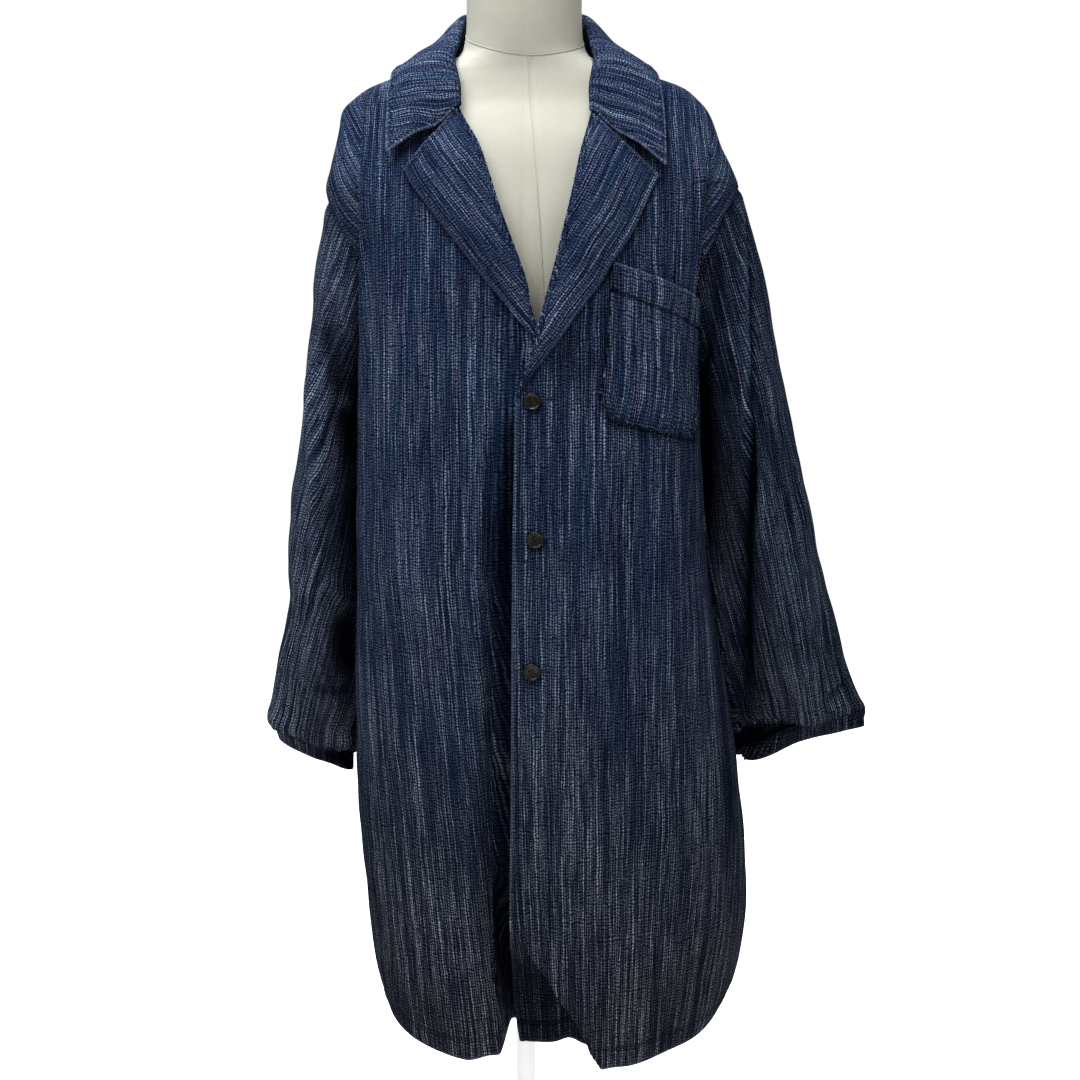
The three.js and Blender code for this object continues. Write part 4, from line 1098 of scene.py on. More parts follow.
FRONT_FOLDS = {
    # On the front of each sleeve, by x and height: ends, bow, width, out, and how much painted shade it gets
    # (or, below 0, how much painted light).
    "left": (
        (227, 1326, 234.5, 996, 0, 5.5, 5.5, -0.30),
        (232.5, 1322, 240, 992, 0, 3.2, -5.5, 0.75),
        (238, 1085, 255, 760, 5, 7, -7.0, 1.0),
        (212, 935, 233, 790, 0, 9, 5.0, -0.30),
        (190, 1200, 204, 935, 0, 8, -3.0, 0.95),
        (194, 1262, 206, 1170, 0, 10, -2.5, 0.50),
        (208, 1112, 222, 1070, 0, 9, 1.5, -0.32),
        (260, 1140, 272, 1090, 0, 9, 1.5, -0.30),
        (262, 1066, 286, 960, 0, 8, -3.0, 0.35),
        (300, 936, 324, 852, 0, 12, 3.0, -0.35),
        (338, 770, 368, 792, 0, 3.6, -3.0, 0.55),
        (280, 800, 330, 812, 0, 10, 2.5, -0.20),
    ),
    "right": (
        (-223, 1146, -222, 975, 0, 5.5, 5.0, -0.32),
        (-204, 1184, -190, 1106, 0, 12, -4.5, 0.62),
        (-188, 1102, -178, 1036, 0, 12, -4.5, 0.75),
        (-181, 1012, -178, 880, 0, 9, -4.0, 1.0),
        (-192, 1230, -180, 1156, 0, 8, 2.0, -0.32),
        (-204, 1280, -224, 1212, 0, 12, 2.0, -0.34),
        (-203, 1062, -213, 998, 0, 9, 1.8, -0.28),
        (-236, 1120, -246, 1010, 0, 8, -2.5, 0.30),
        (-218, 918, -188, 872, 0, 6, 4.5, -0.20),
        (-232, 892, -246, 850, 0, 10, -3.0, 0.30),
        (-201, 874, -196, 792, 0, 11, -4.5, 0.90),
        (-230, 838, -250, 788, 0, 12, 3.0, -0.34),
        (-234, 788, -194, 778, 0, 6, -3.0, 0.65),
        (-232, 706, -190, 690, 0, 13, 0.0, 0.70),
    ),
}
SLEEVE_LEAN = {"left": 0.04, "right": 0.36}  # how the stripes slope outwards, as a share of the way down
CUFF_TUCK = {"left": 11.0, "right": 8.0}  # how far the gathered hem band draws in at each cuff
SLEEVE_COLUMNS, ROWS_PER_STATION = 132, 13
SLEEVE_TOP_ROW = 16  # the first row clear of the armhole, where the sleeve's axis starts
SLEEVE_ROW = 84  # the row whose width lays out the stripes round the sleeve


def sleeve(side):
    sign = 1 if side == "left" else -1
    columns = SLEEVE_COLUMNS
    turns = np.arange(columns) * 2 * math.pi / columns
    rings = sleeve_rings(side, turns)
    spans = len(rings) - 1
    steps = np.linspace(0, spans, spans * ROWS_PER_STATION + 1)
    flat = rings.reshape(len(rings), -1)
    rows = {"z": np.arange(len(rings), dtype=float)}
    grid = np.stack([at(rows | {"v": flat[:, n]}, "v", steps) for n in range(flat.shape[1])], -1)
    grid = grid.reshape(len(steps), columns, 3)
    down = arc(grid, 0)
    # The sleeve starts under the edge of the armhole and comes out from below it.
    under = CLOTH + 0.8
    inwards = ring_at_armhole(side, turns)[1]
    grid = grid - inwards * (under * (1 - smooth(down / 3.5)))[..., None]
    hidden = []
    for grow in (5, 2):
        ring, normal = ring_at_armhole(side, turns, grow)
        hidden.append(ring - normal * under)
    grid = np.concatenate([np.stack(hidden), grid[1:]])
    down = np.concatenate([np.full((1, columns), -5.0), np.full((1, columns), -2.0), down[1:]])
    closed = np.concatenate([grid, grid[:, :1]], 1)
    round_it = arc(closed, 1)
    girth = round_it[:, -1:]
    u = round_it[:, :-1]
    u = np.where(u > girth / 2, u - girth, u)
    length = down[-1:, :]
    out = creased(SLEEVE_CREASES[side], u, down) + 0.5 * uneven(u, down, 30, 21 if sign > 0 else 22)
    out *= smooth((down - 4) / 20)
    out += 1.6 * smooth(down / 8) * bell((down - 12) / 16) * np.maximum(0, np.cos(turns))
    outer = (1 + np.cos(turns)) / 2
    sag = mix(-17, 9, smooth(outer * 1.3)) * (sign > 0)
    seed = 31 if sign > 0 else 32
    tuck, rolled = CUFF_TUCK[side] * cuff_share(side, turns), 1 - 0.7 * outer**3
    out += cuff_relief(length - down, u, tuck, sag, seed, rolled)
    rise = length - down
    shade = 0.7 * bell(down / 3) + 0.6 * bell((rise - HEM_DEPTH) / 2.6)
    shade = shade + 0.85 * smooth((rise - HEM_DEPTH + 1) / 3) * smooth((HEM_DEPTH - sag + 1 - rise) / 4)
    shade = shade + 0.35 * smooth((HEM_DEPTH + 1 - rise) / 3)
    facing = smooth(3 * np.sin(turns))
    folds = FRONT_FOLDS[side]
    out += facing * creased([fold[:7] for fold in folds], grid[..., 0], grid[..., 2])
    shaded = facing * creased([(*fold[:6], fold[7]) for fold in folds], grid[..., 0], grid[..., 2])
    from_start, from_deep = ((20, 0.45), (110, 0.2))[sign < 0]
    valley = bell((turns / DEG - 158) / 22) * smooth((down - from_start) / 60)
    upper = (0.24 if sign < 0 else 0.22) * (1 - smooth((down - 60) / 110))
    across = (0, 0.16)[sign > 0] * smooth((250 - u) / 200)
    shade = np.maximum(0, shade + from_deep * valley + upper + across + shaded)
    # The cuff's edge is paler; the fold ridges get painted light where their shade is below 0.
    pale_edges_and_painted_light = bell((length - down) / 1.6) + np.maximum(0, -shaded)
    lean, along = round_axis(grid, round_it[:, :-1], girth, turns, sign)
    lean = lean - SLEEVE_LEAN[side] * np.maximum(along.max() - along, 50)
    if sign < 0:
        turned = (grid, u, down, out, lean, along, shade, pale_edges_and_painted_light)
        turned = [np.concatenate([a[:, :1], a[:, :0:-1]], 1) for a in turned]
        grid, u, down, out, lean, along, shade, pale_edges_and_painted_light = turned
        length = np.concatenate([length[:, :1], length[:, :0:-1]], 1)
    normals = grid_normals(grid, True)
    grid = grid + normals * out[..., None]
    uv = np.stack([sign * lean, -along], -1)
    sew("sleeve_" + side, [line_where(length - down, HEM_DEPTH - 1, grid, normals, 0)])
    return shell("cloth_sleeve_" + side, grid, uv, pale_edges_and_painted_light, CLOTH, [SLEEVE_CLOTH[side]], shade, True)


def round_axis(grid, round_it, girth, turns, sign):
    """How far round and along the sleeve's own axis each point lies, on the cut cloth."""
    start, end = grid[SLEEVE_TOP_ROW].mean(0), grid[-1].mean(0)
    axis = unit(end - start)
    along = (grid - start) @ axis
    off = grid - start - along[..., None] * axis
    ways = (np.array([sign, 0.0, 0]), np.array([0, -1.0, 0]))
    outer, front = (unit(way - axis * (way @ axis)) for way in ways)
    angle = np.unwrap(np.arctan2(off @ front, off @ outer), axis=1)
    angle = angle - 2 * math.pi * np.round(angle[:, :1] / (2 * math.pi))
    known, width = angle[SLEEVE_ROW], round_it[SLEEVE_ROW]
    full = girth[SLEEVE_ROW, 0]
    turn = 2 * math.pi
    known = np.concatenate([known - turn, known, known + turn])
    width = np.concatenate([width - full, width, width + full])
    return np.interp(angle, known, width) - full * (turns > math.pi), along


def cuff_share(side, turns):
    """The hem band is drawn in most at the front, and least along the outer line of the left cuff."""
    outer = (1 + np.cos(turns)) / 2
    return 1 - (0.93 if side == "left" else 0.35) * outer**2


def lapel(side):
    """The front's turned-back cloth, rolled round the front's edge."""
    left = side == "left"
    sign = 1 if left else -1
    roll, outer = EDGE[side], LAPEL[side]
    tip, notch, gorge = (LAPEL_TOP[side][k] for k in ("tip", "notch", "gorge"))
    bottom = outer["z"][0]
    notch_share = (notch[0] - gorge[0]) / (tip[0] - gorge[0])
    notch_dip = notch[1] - mix(gorge[1], tip[1], notch_share)
    s = np.linspace(0, 1, 110)[:, None]
    w = np.linspace(0, 1, 34)[None, :]
    roll_z, edge_z = mix(bottom, gorge[1], s), mix(bottom, tip[1], s)
    begun = smooth(s / 0.2)
    double = DOUBLE * (0.3 + 0.7 * begun)
    roll_x = at(roll, "x", roll_z) + sign * 3.6 * begun
    edge_x = at(outer, "x", edge_z)
    bow = notch_dip * smooth(s * 4 - 3) * np.minimum(w / notch_share, (1 - w) / (1 - notch_share))
    x, z = mix(roll_x, edge_x, w), mix(roll_z, edge_z, w) + bow
    rise = 3.2 * np.sin(math.pi * np.minimum(1, w * 1.1)) * smooth(s * 3)
    flat = lifted(side, x, z, LAID + double + rise)
    # The roll: a half turn round the front's edge, from behind it to its face.
    near = lambda dx, dz: FRONT[side](angle_of(roll_x + dx, roll_z + dz), roll_z + dz)
    normal = slope_normal(near)
    centre = near(0, 0) - normal * CLOTH / 2
    along = unit(np.gradient(centre, axis=0))
    off = unit(np.cross(normal, along)) * -sign
    radius = (CLOTH / 2 + LAID + double)[..., None]
    turns = np.linspace(165, 12, 12) * DEG
    aside = np.sin(turns)[None, :, None] * (0.4 + 0.6 * begun)[..., None]
    rolled = centre + radius * (np.cos(turns)[None, :, None] * normal + aside * off)
    grid = np.concatenate([rolled, flat], 1)
    grid[:, 10:16] = soften(grid[:, 9:17], 3, 1)[:, 1:-1]
    across = arc(grid, 1)
    inset = across[:, -1:] - across
    up = arc(grid, 0)
    top_inset = up[-1:] - up
    edge = np.minimum(inset, top_inset)
    out = edge_relief(edge) * begun + 0.35 * uneven(across, up, 26, 41 if left else 42)
    pale_edges_and_painted_light = 0.5 * bell(edge / 2.2) * begun
    shade = 0.45 * bell((edge - EDGE_STITCH) / 1.4) * begun
    if not left:
        grid, out, inset, up, pale_edges_and_painted_light, shade = [a[:, ::-1] for a in (grid, out, inset, up, pale_edges_and_painted_light, shade)]
    normals = grid_normals(grid)
    grid = grid + normals * out[..., None]
    uv = np.stack([sign * inset, up], -1)
    from_top = up[-1:] - up
    outer_line = from_top[:, 0 if sign < 0 else -1] > EDGE_STITCH
    face = slice(None, 36) if sign < 0 else slice(-36, None)
    sew(
        "lapel_" + side,
        [
            line_where(
                inset[outer_line][:, face],
                EDGE_STITCH,
                grid[outer_line][:, face],
                normals[outer_line][:, face],
                1,
            ),
            line_where(from_top[:, face], EDGE_STITCH, grid[:, face], normals[:, face], 0),
        ],
    )
    return shell("cloth_lapel_" + side, grid, uv, pale_edges_and_painted_light, double, [LAPEL_CLOTH[side]], shade)


def collar():
    """The collar: each section goes from the seam up the stand, over the fold and down the fall."""
    count = len(COLLAR["z"]) - 1
    k = np.linspace(0, count, 190)
    points = {p: np.stack([at(COLLAR, p + c, k) for c in "xyz"], -1) for p in "ste"}
    seam, top, edge = points["s"], points["t"], points["e"]
    arch = at(COLLAR, "arch", k)
    dip = COLLAR_NOTCH["right"] * bell(k / 0.7) + COLLAR_NOTCH["left"] * bell((count - k) / 0.7)
    stand = np.linspace(0, 1, 14)[:, None, None]
    fall = np.linspace(0, 1, 46)[1:, None, None]
    rise = arch * 0.9 * np.sin(math.pi * fall[..., 0] ** 0.8) - dip * bell((fall[..., 0] - 0.3) / 0.22)
    turned = top + (edge - top) * fall
    turned[..., 2] += rise + 0.8 * (1 - fall[..., 0])
    grid = np.concatenate([mix(seam, top, stand), turned])
    grid = soften(grid, 26)[:, ::-1]
    up, along = arc(grid, 0), arc(grid, 1)
    edge = np.minimum(np.minimum(up[-1:] - up, along), along[:, -1:] - along)
    on_fall = smooth((np.arange(len(grid))[:, None] - 16) / 4)
    out = edge_relief(edge) * on_fall + 0.45 * uneven(along, up, 24, 51) * on_fall
    normals = grid_normals(grid)
    grid = grid + normals * out[..., None]
    fall_rows = slice(20, None)
    to_edge, ends = up[-1:] - up, (along, along[:, -1:] - along)
    lines = [line_where(to_edge[fall_rows], EDGE_STITCH, grid[fall_rows], normals[fall_rows], 0)]
    inner_rows = slice(20, -4)
    for end in ends:
        lines.append(line_where(end[inner_rows], EDGE_STITCH, grid[inner_rows], normals[inner_rows], 1))
    sew("collar", lines)
    # The warp runs across the collar, and swings towards level on the two front leaves.
    station = np.linspace(count, 0, along.shape[1])[None, :]
    run = along[[36]] + 0 * along
    run = run - 0.30 * up * smooth((station - count + 3.4) / 1.6) + 0.60 * up * smooth((3.4 - station) / 1.6)
    uv = np.stack([run, up], -1)
    shade = 0.45 * bell((edge - EDGE_STITCH) / 1.4) * on_fall
    return shell("cloth_collar", grid, uv, 0.9 * bell(edge / 2.2) * on_fall, DOUBLE, [COLLAR_CLOTH], shade)


def pocket():
    inner_top, outer_top, outer_low, inner_low = (
        (angle_of(np.array(POCKET[k][0], float), np.array(POCKET[k][1], float)), POCKET[k][1])
        for k in ("top_in", "top_out", "low_out", "low_in")
    )
    t = np.linspace(0, 1, 84)[:, None]
    u = np.linspace(0, 1, 60)[None, :]
    corner = POCKET_ROUND * np.maximum(0, 1 - 2.2 * t) ** 2 * np.abs(2 * u - 1) ** 5
    angle = mix(mix(inner_low[0], outer_low[0], u), mix(inner_top[0], outer_top[0], u), t)
    z = mix(mix(inner_low[1], outer_low[1], u), mix(inner_top[1], outer_top[1], u), t) + corner
    near = lambda dx, dz: left_front(angle + dx / 150, z + dz)
    grid = near(0, 0) + slope_normal(near) * (LAID + POCKET_CLOTH_THICK)
    across, up = arc(grid, 1), arc(grid, 0)
    side, mouth = np.minimum(across, across[:, -1:] - across), up[-1:] - up
    edge = np.minimum(side, up)
    pucker = 0.4 * uneven(across + up, 3 * edge, 8, 62) * smooth(edge / 3)
    out = 0.9 * bell((edge - 1) / 2) - (1.7 + pucker) * bell((edge - 4) / 1.5) + 0.6 * bell((edge - 7) / 1.8)
    out -= 1.3 * bell((edge - 10) / 1.5)
    out += 1.1 * smooth((POCKET_MOUTH - mouth) / 3) - (2.4 + pucker) * bell((mouth - POCKET_MOUTH) / 2.0)
    out += 0.7 * uneven(across, up, 18, 61) * smooth((edge - 8) / 10)
    out += 2.4 * np.sin(math.pi * u) * smooth((34 - mouth) / 30)
    normals = grid_normals(grid)
    grid = grid + normals * out[..., None]
    uv = np.stack([grid[:, :1, 0] + across, z + 0.22 * across], -1)
    lines = [line_where(mouth, POCKET_MOUTH, grid, normals, 0)]
    for inset in (4, 10):
        inside = up[:, 30] > inset
        columns = side[8] > inset
        near = (grid[inside][:, :30], normals[inside][:, :30])
        lines.append(line_where(across[inside][:, :30], inset, *near, 1))
        far = across[:, -1:] - across
        lines.append(line_where(far[inside][:, 30:], inset, grid[inside][:, 30:], normals[inside][:, 30:], 1))
        lines.append(line_where(up[:, columns], inset, grid[:, columns], normals[:, columns], 0))
    sew("pocket", lines)
    shade = 0.5 * bell((edge - 4) / 1.4) + 0.3 * bell((edge - 10) / 1.4) + 0.75 * bell(edge / 1.6)
    shade = shade + 0.8 * bell((mouth - POCKET_MOUTH) / 1.8)
    pale_edges_and_painted_light = 0.6 * bell(mouth / 2.4)
    return shell("cloth_pocket", grid, uv, pale_edges_and_painted_light, POCKET_CLOTH_THICK, [POCKET_CLOTH], shade)


# ---- the dress form -----------------------------------------------------------------------------
def form_neck_line(turn):
    """Height of the seam round the form's neck, lowest at its front."""
    return NECK_SEAM["z"] - NECK_SEAM["dip"] * np.cos(turn - FORM_TURN * DEG)


def form_seams():
    """The cover's two seams drawn by their thread: round the neck and down the front."""
    turn = np.linspace(0, 2 * math.pi, 121)
    height = form_neck_line(turn)
    r = reach(FORM, height, turn) + 0.05
    neck = np.stack([r * np.sin(turn), -r * np.cos(turn), height], -1)
    height = np.linspace(1100, form_neck_line(FORM_TURN * DEG), 121)
    turn = np.linspace(13, 4, 121) * DEG
    r = reach(FORM, height, turn) + 0.05
    front = np.stack([r * np.sin(turn), -r * np.cos(turn), height], -1)
    return tubes("form_seams", [neck, front], 0.4, LINEN_THREAD)


def form_cover():
    """The padded torso's linen cover, with seams round the neck and down the front and back."""
    z = np.concatenate([np.linspace(722, 1400, 110), np.linspace(1404, 1545, 86)])[:, None]
    turn = (np.arange(160) * 2 * math.pi / 160)[None, :]
    r = reach(FORM, z, turn)
    neck_line = form_neck_line(turn)
    r = r - 0.35 * bell((z - neck_line) / 2)
    for seam in (9 * DEG, 187 * DEG):
        off = np.arctan2(np.sin(turn - seam), np.cos(turn - seam)) * r
        r = r - 0.9 * bell(off / 1.1) * smooth((neck_line - z) / 4)
    grid = np.stack([r * np.sin(turn), -r * np.cos(turn), z + 0 * r], -1)
    closed = np.concatenate([grid, grid[:, :1]], 1)
    u, v = arc(closed, 1)[:, :-1], arc(grid, 0)
    rows, cols = grid.shape[:2]
    index = np.arange(rows * cols).reshape(rows, cols)
    index = np.concatenate([index, index[:, :1]], 1)
    quads = np.stack([index[:-1, :-1], index[:-1, 1:], index[1:, 1:], index[1:, :-1]], -1).reshape(-1, 4)
    points, faces = [grid.reshape(-1, 3)], [quads]
    count = rows * cols
    for row, low in ((0, True), (rows - 1, False)):
        border = index[row, :-1]
        shrink = []
        for share in (0.97, 0.6, 0.02):
            shrink.append(np.arange(count, count + cols))
            points.append(grid[row] * [share, share, 1])
            count += cols
        for a, b in zip([border, *shrink], shrink):
            quad = np.stack([a, np.roll(a, -1), np.roll(b, -1), b], -1)
            faces.append(quad[:, ::-1] if low else quad)
    points = np.concatenate(points)
    uv = np.concatenate([np.stack([u, v], -1).reshape(-1, 2), points[rows * cols :, :2]])
    cover = mesh("form_cover", points, np.concatenate(faces), uv, None, [LINEN])
    return cover


def lathe(name, profile, material, sides=96):
    """A turned piece from (radius, height) points."""
    profile = np.array(profile, float)
    turn = (np.arange(sides) * 2 * math.pi / sides)[None, :]
    r, z = profile[:, :1], profile[:, 1:]
    grid = np.stack([r * np.sin(turn), -r * np.cos(turn), z + 0 * turn], -1)
    index = np.arange(grid.shape[0] * sides).reshape(-1, sides)
    index = np.concatenate([index, index[:, :1]], 1)
    quads = np.stack([index[:-1, :-1], index[:-1, 1:], index[1:, 1:], index[1:, :-1]], -1).reshape(-1, 4)
    thing = mesh(name, grid.reshape(-1, 3), quads, None, None, [material])
    with_edges = thing.modifiers.new("edges", "EDGE_SPLIT")
    with_edges.split_angle = 40 * DEG
    return thing


def rounded(corners, radius=1.5, steps=4):
    """A profile with each inner corner turned on a small arc."""
    made = [corners[0]]
    for before, corner, after in zip(corners, corners[1:], corners[2:]):
        b, c, a = (np.array(p, float) for p in (before, corner, after))
        near = min(radius, np.linalg.norm(b - c) / 2.2, np.linalg.norm(a - c) / 2.2)
        start, end = c + unit(b - c) * near, c + unit(a - c) * near
        for t in np.linspace(0, 1, steps):
            made.append(tuple((1 - t) ** 2 * start + 2 * t * (1 - t) * c + t * t * end))
    return made + [corners[-1]]


def stand_pieces():
    cap = rounded([(0.01, 1545.3), (62, 1545.3), (62, 1555.3), (58, 1559.3), (0.01, 1559.3)])
    pole = [(0.01, 42.3), (15, 42.3), (15, 66.3), (11, 70.3), (11, 709.7), (36, 713.7), (40, 716.7)]
    pole += [(40, 721.7), (0.01, 721.7)]
    base = [(0.01, 0), (177, 0), (180, 3), (180, 10), (174, 14)]
    base += [(38, 18), (26, 24), (26, 39), (23, 42), (0.01, 42)]
    return [
        (lathe("form_cap", cap, PAINT), "form_neck_cap"),
        (lathe("form_pole_tube", rounded(pole), PAINT, 64), "form_pole"),
        (lathe("form_base_plate", rounded(base, 3), PAINT, 160), "form_base"),
    ]


# ---- buttons and stitches -----------------------------------------------------------------------
def turned_to(point, normal, up=(0, 0, 1)):
    """Axes of a small flat thing lying at a point: across, up and outward."""
    n = unit(np.asarray(normal, float))
    x = unit(np.cross(up, n))
    return np.asarray(point, float), x, np.cross(n, x), n


def button(number, x, z):
    """A four-hole button with a raised rounded rim, turned a little on its thread."""
    size = BUTTON
    r, thick = size["radius"], size["thick"]
    near = lambda dx, dz: left_front(angle_of(x + dx, z + dz), z + dz)
    place, ax, ay, az = turned_to(near(0.0, 0.0), slope_normal(near))
    place = place + az * 0.6
    profile = [(0.01, 0.0), (r - 1.2, 0.0), (r - 0.3, 0.5), (r, 1.3), (r - 0.15, 2.3), (r - 0.8, thick)]
    profile += [(r - size["rim"], thick), (r - size["rim"] - 0.9, thick - size["dish"])]
    profile += [(0.5 * r, thick - size["dish"] - 0.15), (0.01, thick - size["dish"] - 0.25)]
    thing = lathe(f"horn_button_{number}", rounded(profile, 0.5, 4), HORN, 64)
    thing.modifiers.clear()
    for i, j in ((-1, -1), (-1, 1), (1, -1), (1, 1)):
        bpy.ops.mesh.primitive_cylinder_add(
            vertices=20,
            radius=size["hole"] * MM,
            depth=12 * MM,
            location=(i * size["apart"] * MM, j * size["apart"] * MM, 1.5 * MM),
        )
        drill = bpy.context.active_object
        cut = thing.modifiers.new("hole", "BOOLEAN")
        cut.object = drill
        cut.solver = "EXACT"
        with bpy.context.temp_override(object=thing, active_object=thing):
            bpy.ops.object.modifier_apply(modifier="hole")
        bpy.data.objects.remove(drill, do_unlink=True)
    spin = (20, -12, 33)[number - 1] * DEG
    turned_x = ax * math.cos(spin) + ay * math.sin(spin)
    turned_y = -ax * math.sin(spin) + ay * math.cos(spin)
    axes = np.stack([turned_x, turned_y, az], 1)
    points = np.array([v.co for v in thing.data.vertices]) @ axes.T + place * MM
    thing.data.vertices.foreach_set("co", points.astype(np.float32).ravel())
    thing.data.update()
    bars = []
    holes = (-size["apart"], size["apart"])
    for j in holes:
        ends = [place + turned_x * i + turned_y * j + az * (thick - size["dish"] - 0.1) for i in holes]
        middle = (ends[0] + ends[1]) / 2 + az * 0.7
        for shift in (-0.32, 0.32):
            path = (ends[0] - az * 1.2, ends[0], middle, ends[1], ends[1] - az * 1.2)
            bars.append([point + turned_y * shift for point in path])
    thread = tubes(f"button_thread_{number}", bars, 0.3, HORN_THREAD, 8)
    return thing, thread


def tubes(name, lines, radius, material, sides=6):
    """Round threads along short lines of points, closed at their ends."""
    lines = np.asarray(lines, float)
    count, steps = lines.shape[:2]
    along = unit(np.gradient(lines, axis=1))
    helper = np.where(np.abs(along[..., 2:3]) > 0.8, [1.0, 0, 0], [0, 0, 1.0])
    side = unit(np.cross(along, helper))
    up = np.cross(side, along)
    turn = np.arange(sides) * 2 * math.pi / sides
    taper = np.full(steps, 1.0)
    taper[0] = taper[-1] = 0.45
    ring = np.cos(turn)[:, None] * side[:, :, None] + np.sin(turn)[:, None] * up[:, :, None]
    points = lines[:, :, None] + radius * taper[None, :, None, None] * ring
    index = np.arange(count * steps * sides).reshape(count, steps, sides)
    nxt = np.roll(index, -1, 2)
    walls = np.stack([index[:, :-1], nxt[:, :-1], nxt[:, 1:], index[:, 1:]], -1).reshape(-1, 4)
    half = sides // 2
    caps = []
    for k in range(1, half):
        for row, flip in ((0, True), (steps - 1, False)):
            far, past = sides - k - 1, (sides - k) % sides
            a = index[:, row, k - 1], index[:, row, k], index[:, row, far], index[:, row, past]
            quad = np.stack(a, -1)
            caps.append(quad[:, ::-1] if flip else quad)
    return mesh(name, points.reshape(-1, 3), np.concatenate([walls, *caps]), None, None, [material])


def stitches(line, normals, pitch=3.3, length=2.3, sink=0.1):
    """Places for a row of stitches along a line of points on a face."""
    gone = arc(line[None], 1)[0]
    starts = np.arange(pitch, gone[-1] - pitch, pitch)
    rows = []
    for part, height in ((0, -0.35), (0.2, 0.12), (0.5, 0.25), (0.8, 0.12), (1, -0.35)):
        where = starts + part * length
        point = np.stack([np.interp(where, gone, line[:, k]) for k in range(3)], -1)
        normal = unit(np.stack([np.interp(where, gone, normals[:, k]) for k in range(3)], -1))
        rows.append(point + normal * (height - sink))
    return list(np.stack(rows, 1))


def on_left_front(x, z, lift):
    """Points over the left front as it is shaped round its buttonholes."""
    relief = sum(buttonhole_relief(x - bx, z - bz) for bx, bz in BUTTONS)
    relief = relief + creased(FRONT_CREASES["left"], x, z)
    return lifted("left", x, z, relief + lift)


def buttonhole(number, button_x, button_z):
    """A horizontal slit with close stitches along both sides, running on past the button."""
    x = np.linspace(button_x + HOLE["from"], button_x + HOLE["to"], 24)
    rise = button_z + HOLE["above"] + HOLE["slope"] * (x - button_x)
    ridge = on_left_front(x, rise, np.full_like(x, 0.25))
    # The slit is a near-black tube: painted shadow in the cut.
    slit = tubes(f"buttonhole_slit_{number}", [ridge], 0.55, SLIT_SHADOW_MATERIAL, 8)
    bars = []
    for bar_x in np.arange(button_x + HOLE["from"] + 1, button_x + HOLE["to"] + 0.5, HOLE["pitch"]):
        for way in (-1, 1):
            xs = np.full(4, bar_x)
            middle = button_z + HOLE["above"] + HOLE["slope"] * (bar_x - button_x)
            zs = middle + way * np.array([0.4, 0.7, 1.4, 1.8])
            bars.append(on_left_front(xs, zs, np.array([0.0, 0.45, 0.4, -0.1])))
    return slit, tubes(f"buttonhole_stitches_{number}", bars, 0.32, HOLE_THREAD)


# ---- materials ----------------------------------------------------------------------------------
FRONT_CLOTH = {
    "left": kasuri_material("kasuri_front_left", (0, 0)),
    "right": kasuri_material("kasuri_front_right", (731, 90)),
}
BACK_CLOTH = kasuri_material("kasuri_back", (2200, 400))
# Painted shade and light: the sleeves get a darker ground, the left sleeve fewer pale streaks than the right,
# and the lapels fewer than the fronts, to match how much light falls on each.
SLEEVE_CLOTH = {
    "left": kasuri_material("kasuri_sleeve_left", (3300, 150), streak=1.2, ground_painted_light=0.6),
    "right": kasuri_material("kasuri_sleeve_right", (4400, 950), streak=1.6, ground_painted_light=0.6),
}
LAPEL_CLOTH = {
    "left": kasuri_material("kasuri_lapel_left", (5300, 30), streak=0.85),
    "right": kasuri_material("kasuri_lapel_right", (6100, 470), streak=0.8),
}
COLLAR_CLOTH = kasuri_material("kasuri_collar", (7000, 640), streak=1.05)
POCKET_CLOTH = kasuri_material("kasuri_pocket", (7900, 810), rib_pitch=3.4, streak=1.15)
LINEN = linen_material()
HORN = horn_material()
PAINT = painted_material()


# ---- assembly -----------------------------------------------------------------------------------
def place(piece, slot, *nodes):
    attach(piece, "root")
    if nodes:
        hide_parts(*nodes)
    return piece


back = place(back_panel(), "kasuri", "back")
for side in ("left", "right"):
    panel = place(front_panel(side), "kasuri", "front_" + side)
    arm = place(sleeve(side), "kasuri", "sleeve_" + side)
    turned = place(lapel(side), "kasuri", "lapel_" + side)
neck = place(collar(), "kasuri", "collar")
patch = place(pocket(), "kasuri", "breast_pocket")
for number, (x, z) in enumerate(BUTTONS, 1):
    disc, thread = button(number, x, z)
    place(disc, "button", f"button_{number}")
    place(thread, "button")
for name, rows in SEWN.items():
    place(tubes("stitches_" + name, rows, 0.34, THREAD), "kasuri")
for number, (x, z) in enumerate(BUTTONS, 1):
    slit, bars = buttonhole(number, x, z)
    place(slit, "kasuri")
    place(bars, "kasuri")
place(form_cover(), "linen", "form_torso")
place(form_seams(), "linen")
for piece, node in stand_pieces():
    place(piece, "stand", node)


# ---- floor, light and camera --------------------------------------------------------------------
def stage():
    """A pale floor. To the camera it glows a little, so that it meets the white backdrop without an edge."""
    material, tree, shader = new_material("floor_paper")
    shader.inputs["Base Color"].default_value = (0.9, 0.9, 0.9, 1)
    shader.inputs["Roughness"].default_value = 0.9
    shader.inputs["Emission Color"].default_value = (1, 1, 1, 1)
    seen = add_node(tree, "LightPath").outputs["Is Camera Ray"]
    tree.links.new(maths(tree, "MULTIPLY", seen, 0.78), shader.inputs["Emission Strength"])
    bpy.ops.mesh.primitive_plane_add(size=60, location=(0, 0, -0.0005))
    floor = bpy.context.active_object
    floor.name = "floor"
    floor.data.materials.append(material)


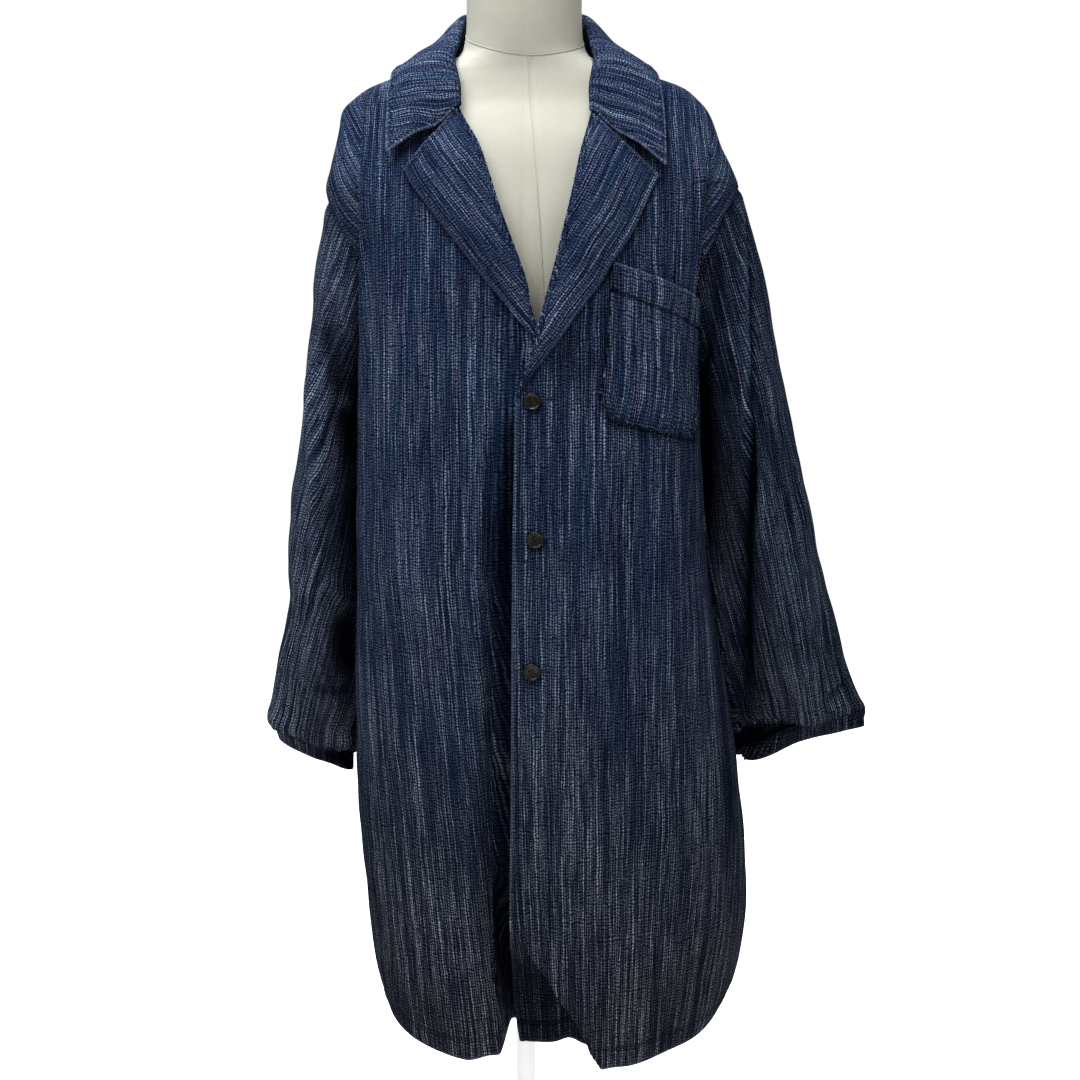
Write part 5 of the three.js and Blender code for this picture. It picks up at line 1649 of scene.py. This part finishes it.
def area_light(name, place, aim, size, power, colour=(1, 1, 1)):
    data = bpy.data.lights.new(name, "AREA")
    data.shape = "RECTANGLE"
    data.size, data.size_y = size
    data.energy = power
    data.color = colour
    lamp = bpy.data.objects.new(name, data)
    bpy.context.collection.objects.link(lamp)
    lamp.location = place
    direction = np.array(aim, float) - np.array(place, float)
    turn = math.atan2(direction[1], direction[0]) - math.pi / 2
    lamp.rotation_euler = (math.acos(-unit(direction)[2]), 0, turn)


def lighting():
    """A white backdrop, dimmer as a light than it looks, and large soft lamps."""
    world = bpy.data.worlds.new("studio")
    world.use_nodes = True
    tree = world.node_tree
    tree.nodes.clear()
    ambient = add_node(tree, "Background", {"Color": (0.93, 0.96, 1.0, 1), "Strength": 0.27})
    backdrop = add_node(tree, "Background", {"Color": (1, 1, 1, 1), "Strength": 1.0})
    seen = add_node(tree, "LightPath").outputs["Is Camera Ray"]
    either = add_node(tree, "MixShader", {0: seen, 1: ambient.outputs[0], 2: backdrop.outputs[0]})
    output = tree.nodes.new("ShaderNodeOutputWorld")
    tree.links.new(either.outputs[0], output.inputs[0])
    bpy.context.scene.world = world
    area_light("key", (-1.25, -1.6, 2.75), (0, 0, 1.2), (1.5, 1.2), 42, (0.95, 0.98, 1.0))
    area_light("top", (-0.35, -0.2, 3.3), (0, 0, 1.2), (1.8, 1.4), 168, (0.90, 0.96, 1.0))
    area_light("fill", (1.6, -2.6, 1.2), (0, 0, 0.9), (1.6, 1.6), 16)
    area_light("low", (0.1, -2.0, 0.4), (0, 0, 0.6), (1.8, 0.6), 7, (1.0, 0.9, 0.74))
    area_light("side", (2.9, 1.3, 1.8), (0, 0, 1.0), (1.6, 1.6), 22)
    area_light("rear", (0.6, 3.0, 2.6), (0, 0, 1.0), (2.4, 1.6), 60)


EYE = (0.0166, -1.5, 1.158)
EYE_DOWN = 7.96  # degrees that the view is pitched down
HALF_VIEW = 21.67  # degrees from the middle of the view to its side


def camera():
    data = bpy.data.cameras.new("camera")
    data.sensor_width = 36
    data.lens = data.sensor_width / 2 / math.tan(HALF_VIEW * DEG)
    data.clip_end = 60
    view = bpy.data.objects.new("camera", data)
    bpy.context.collection.objects.link(view)
    view.location = EYE
    view.rotation_euler = ((90 - EYE_DOWN) * DEG, 0, 0)
    bpy.context.scene.camera = view


stage()
lighting()
camera()
bpy.context.scene.view_settings.view_transform = "Standard"
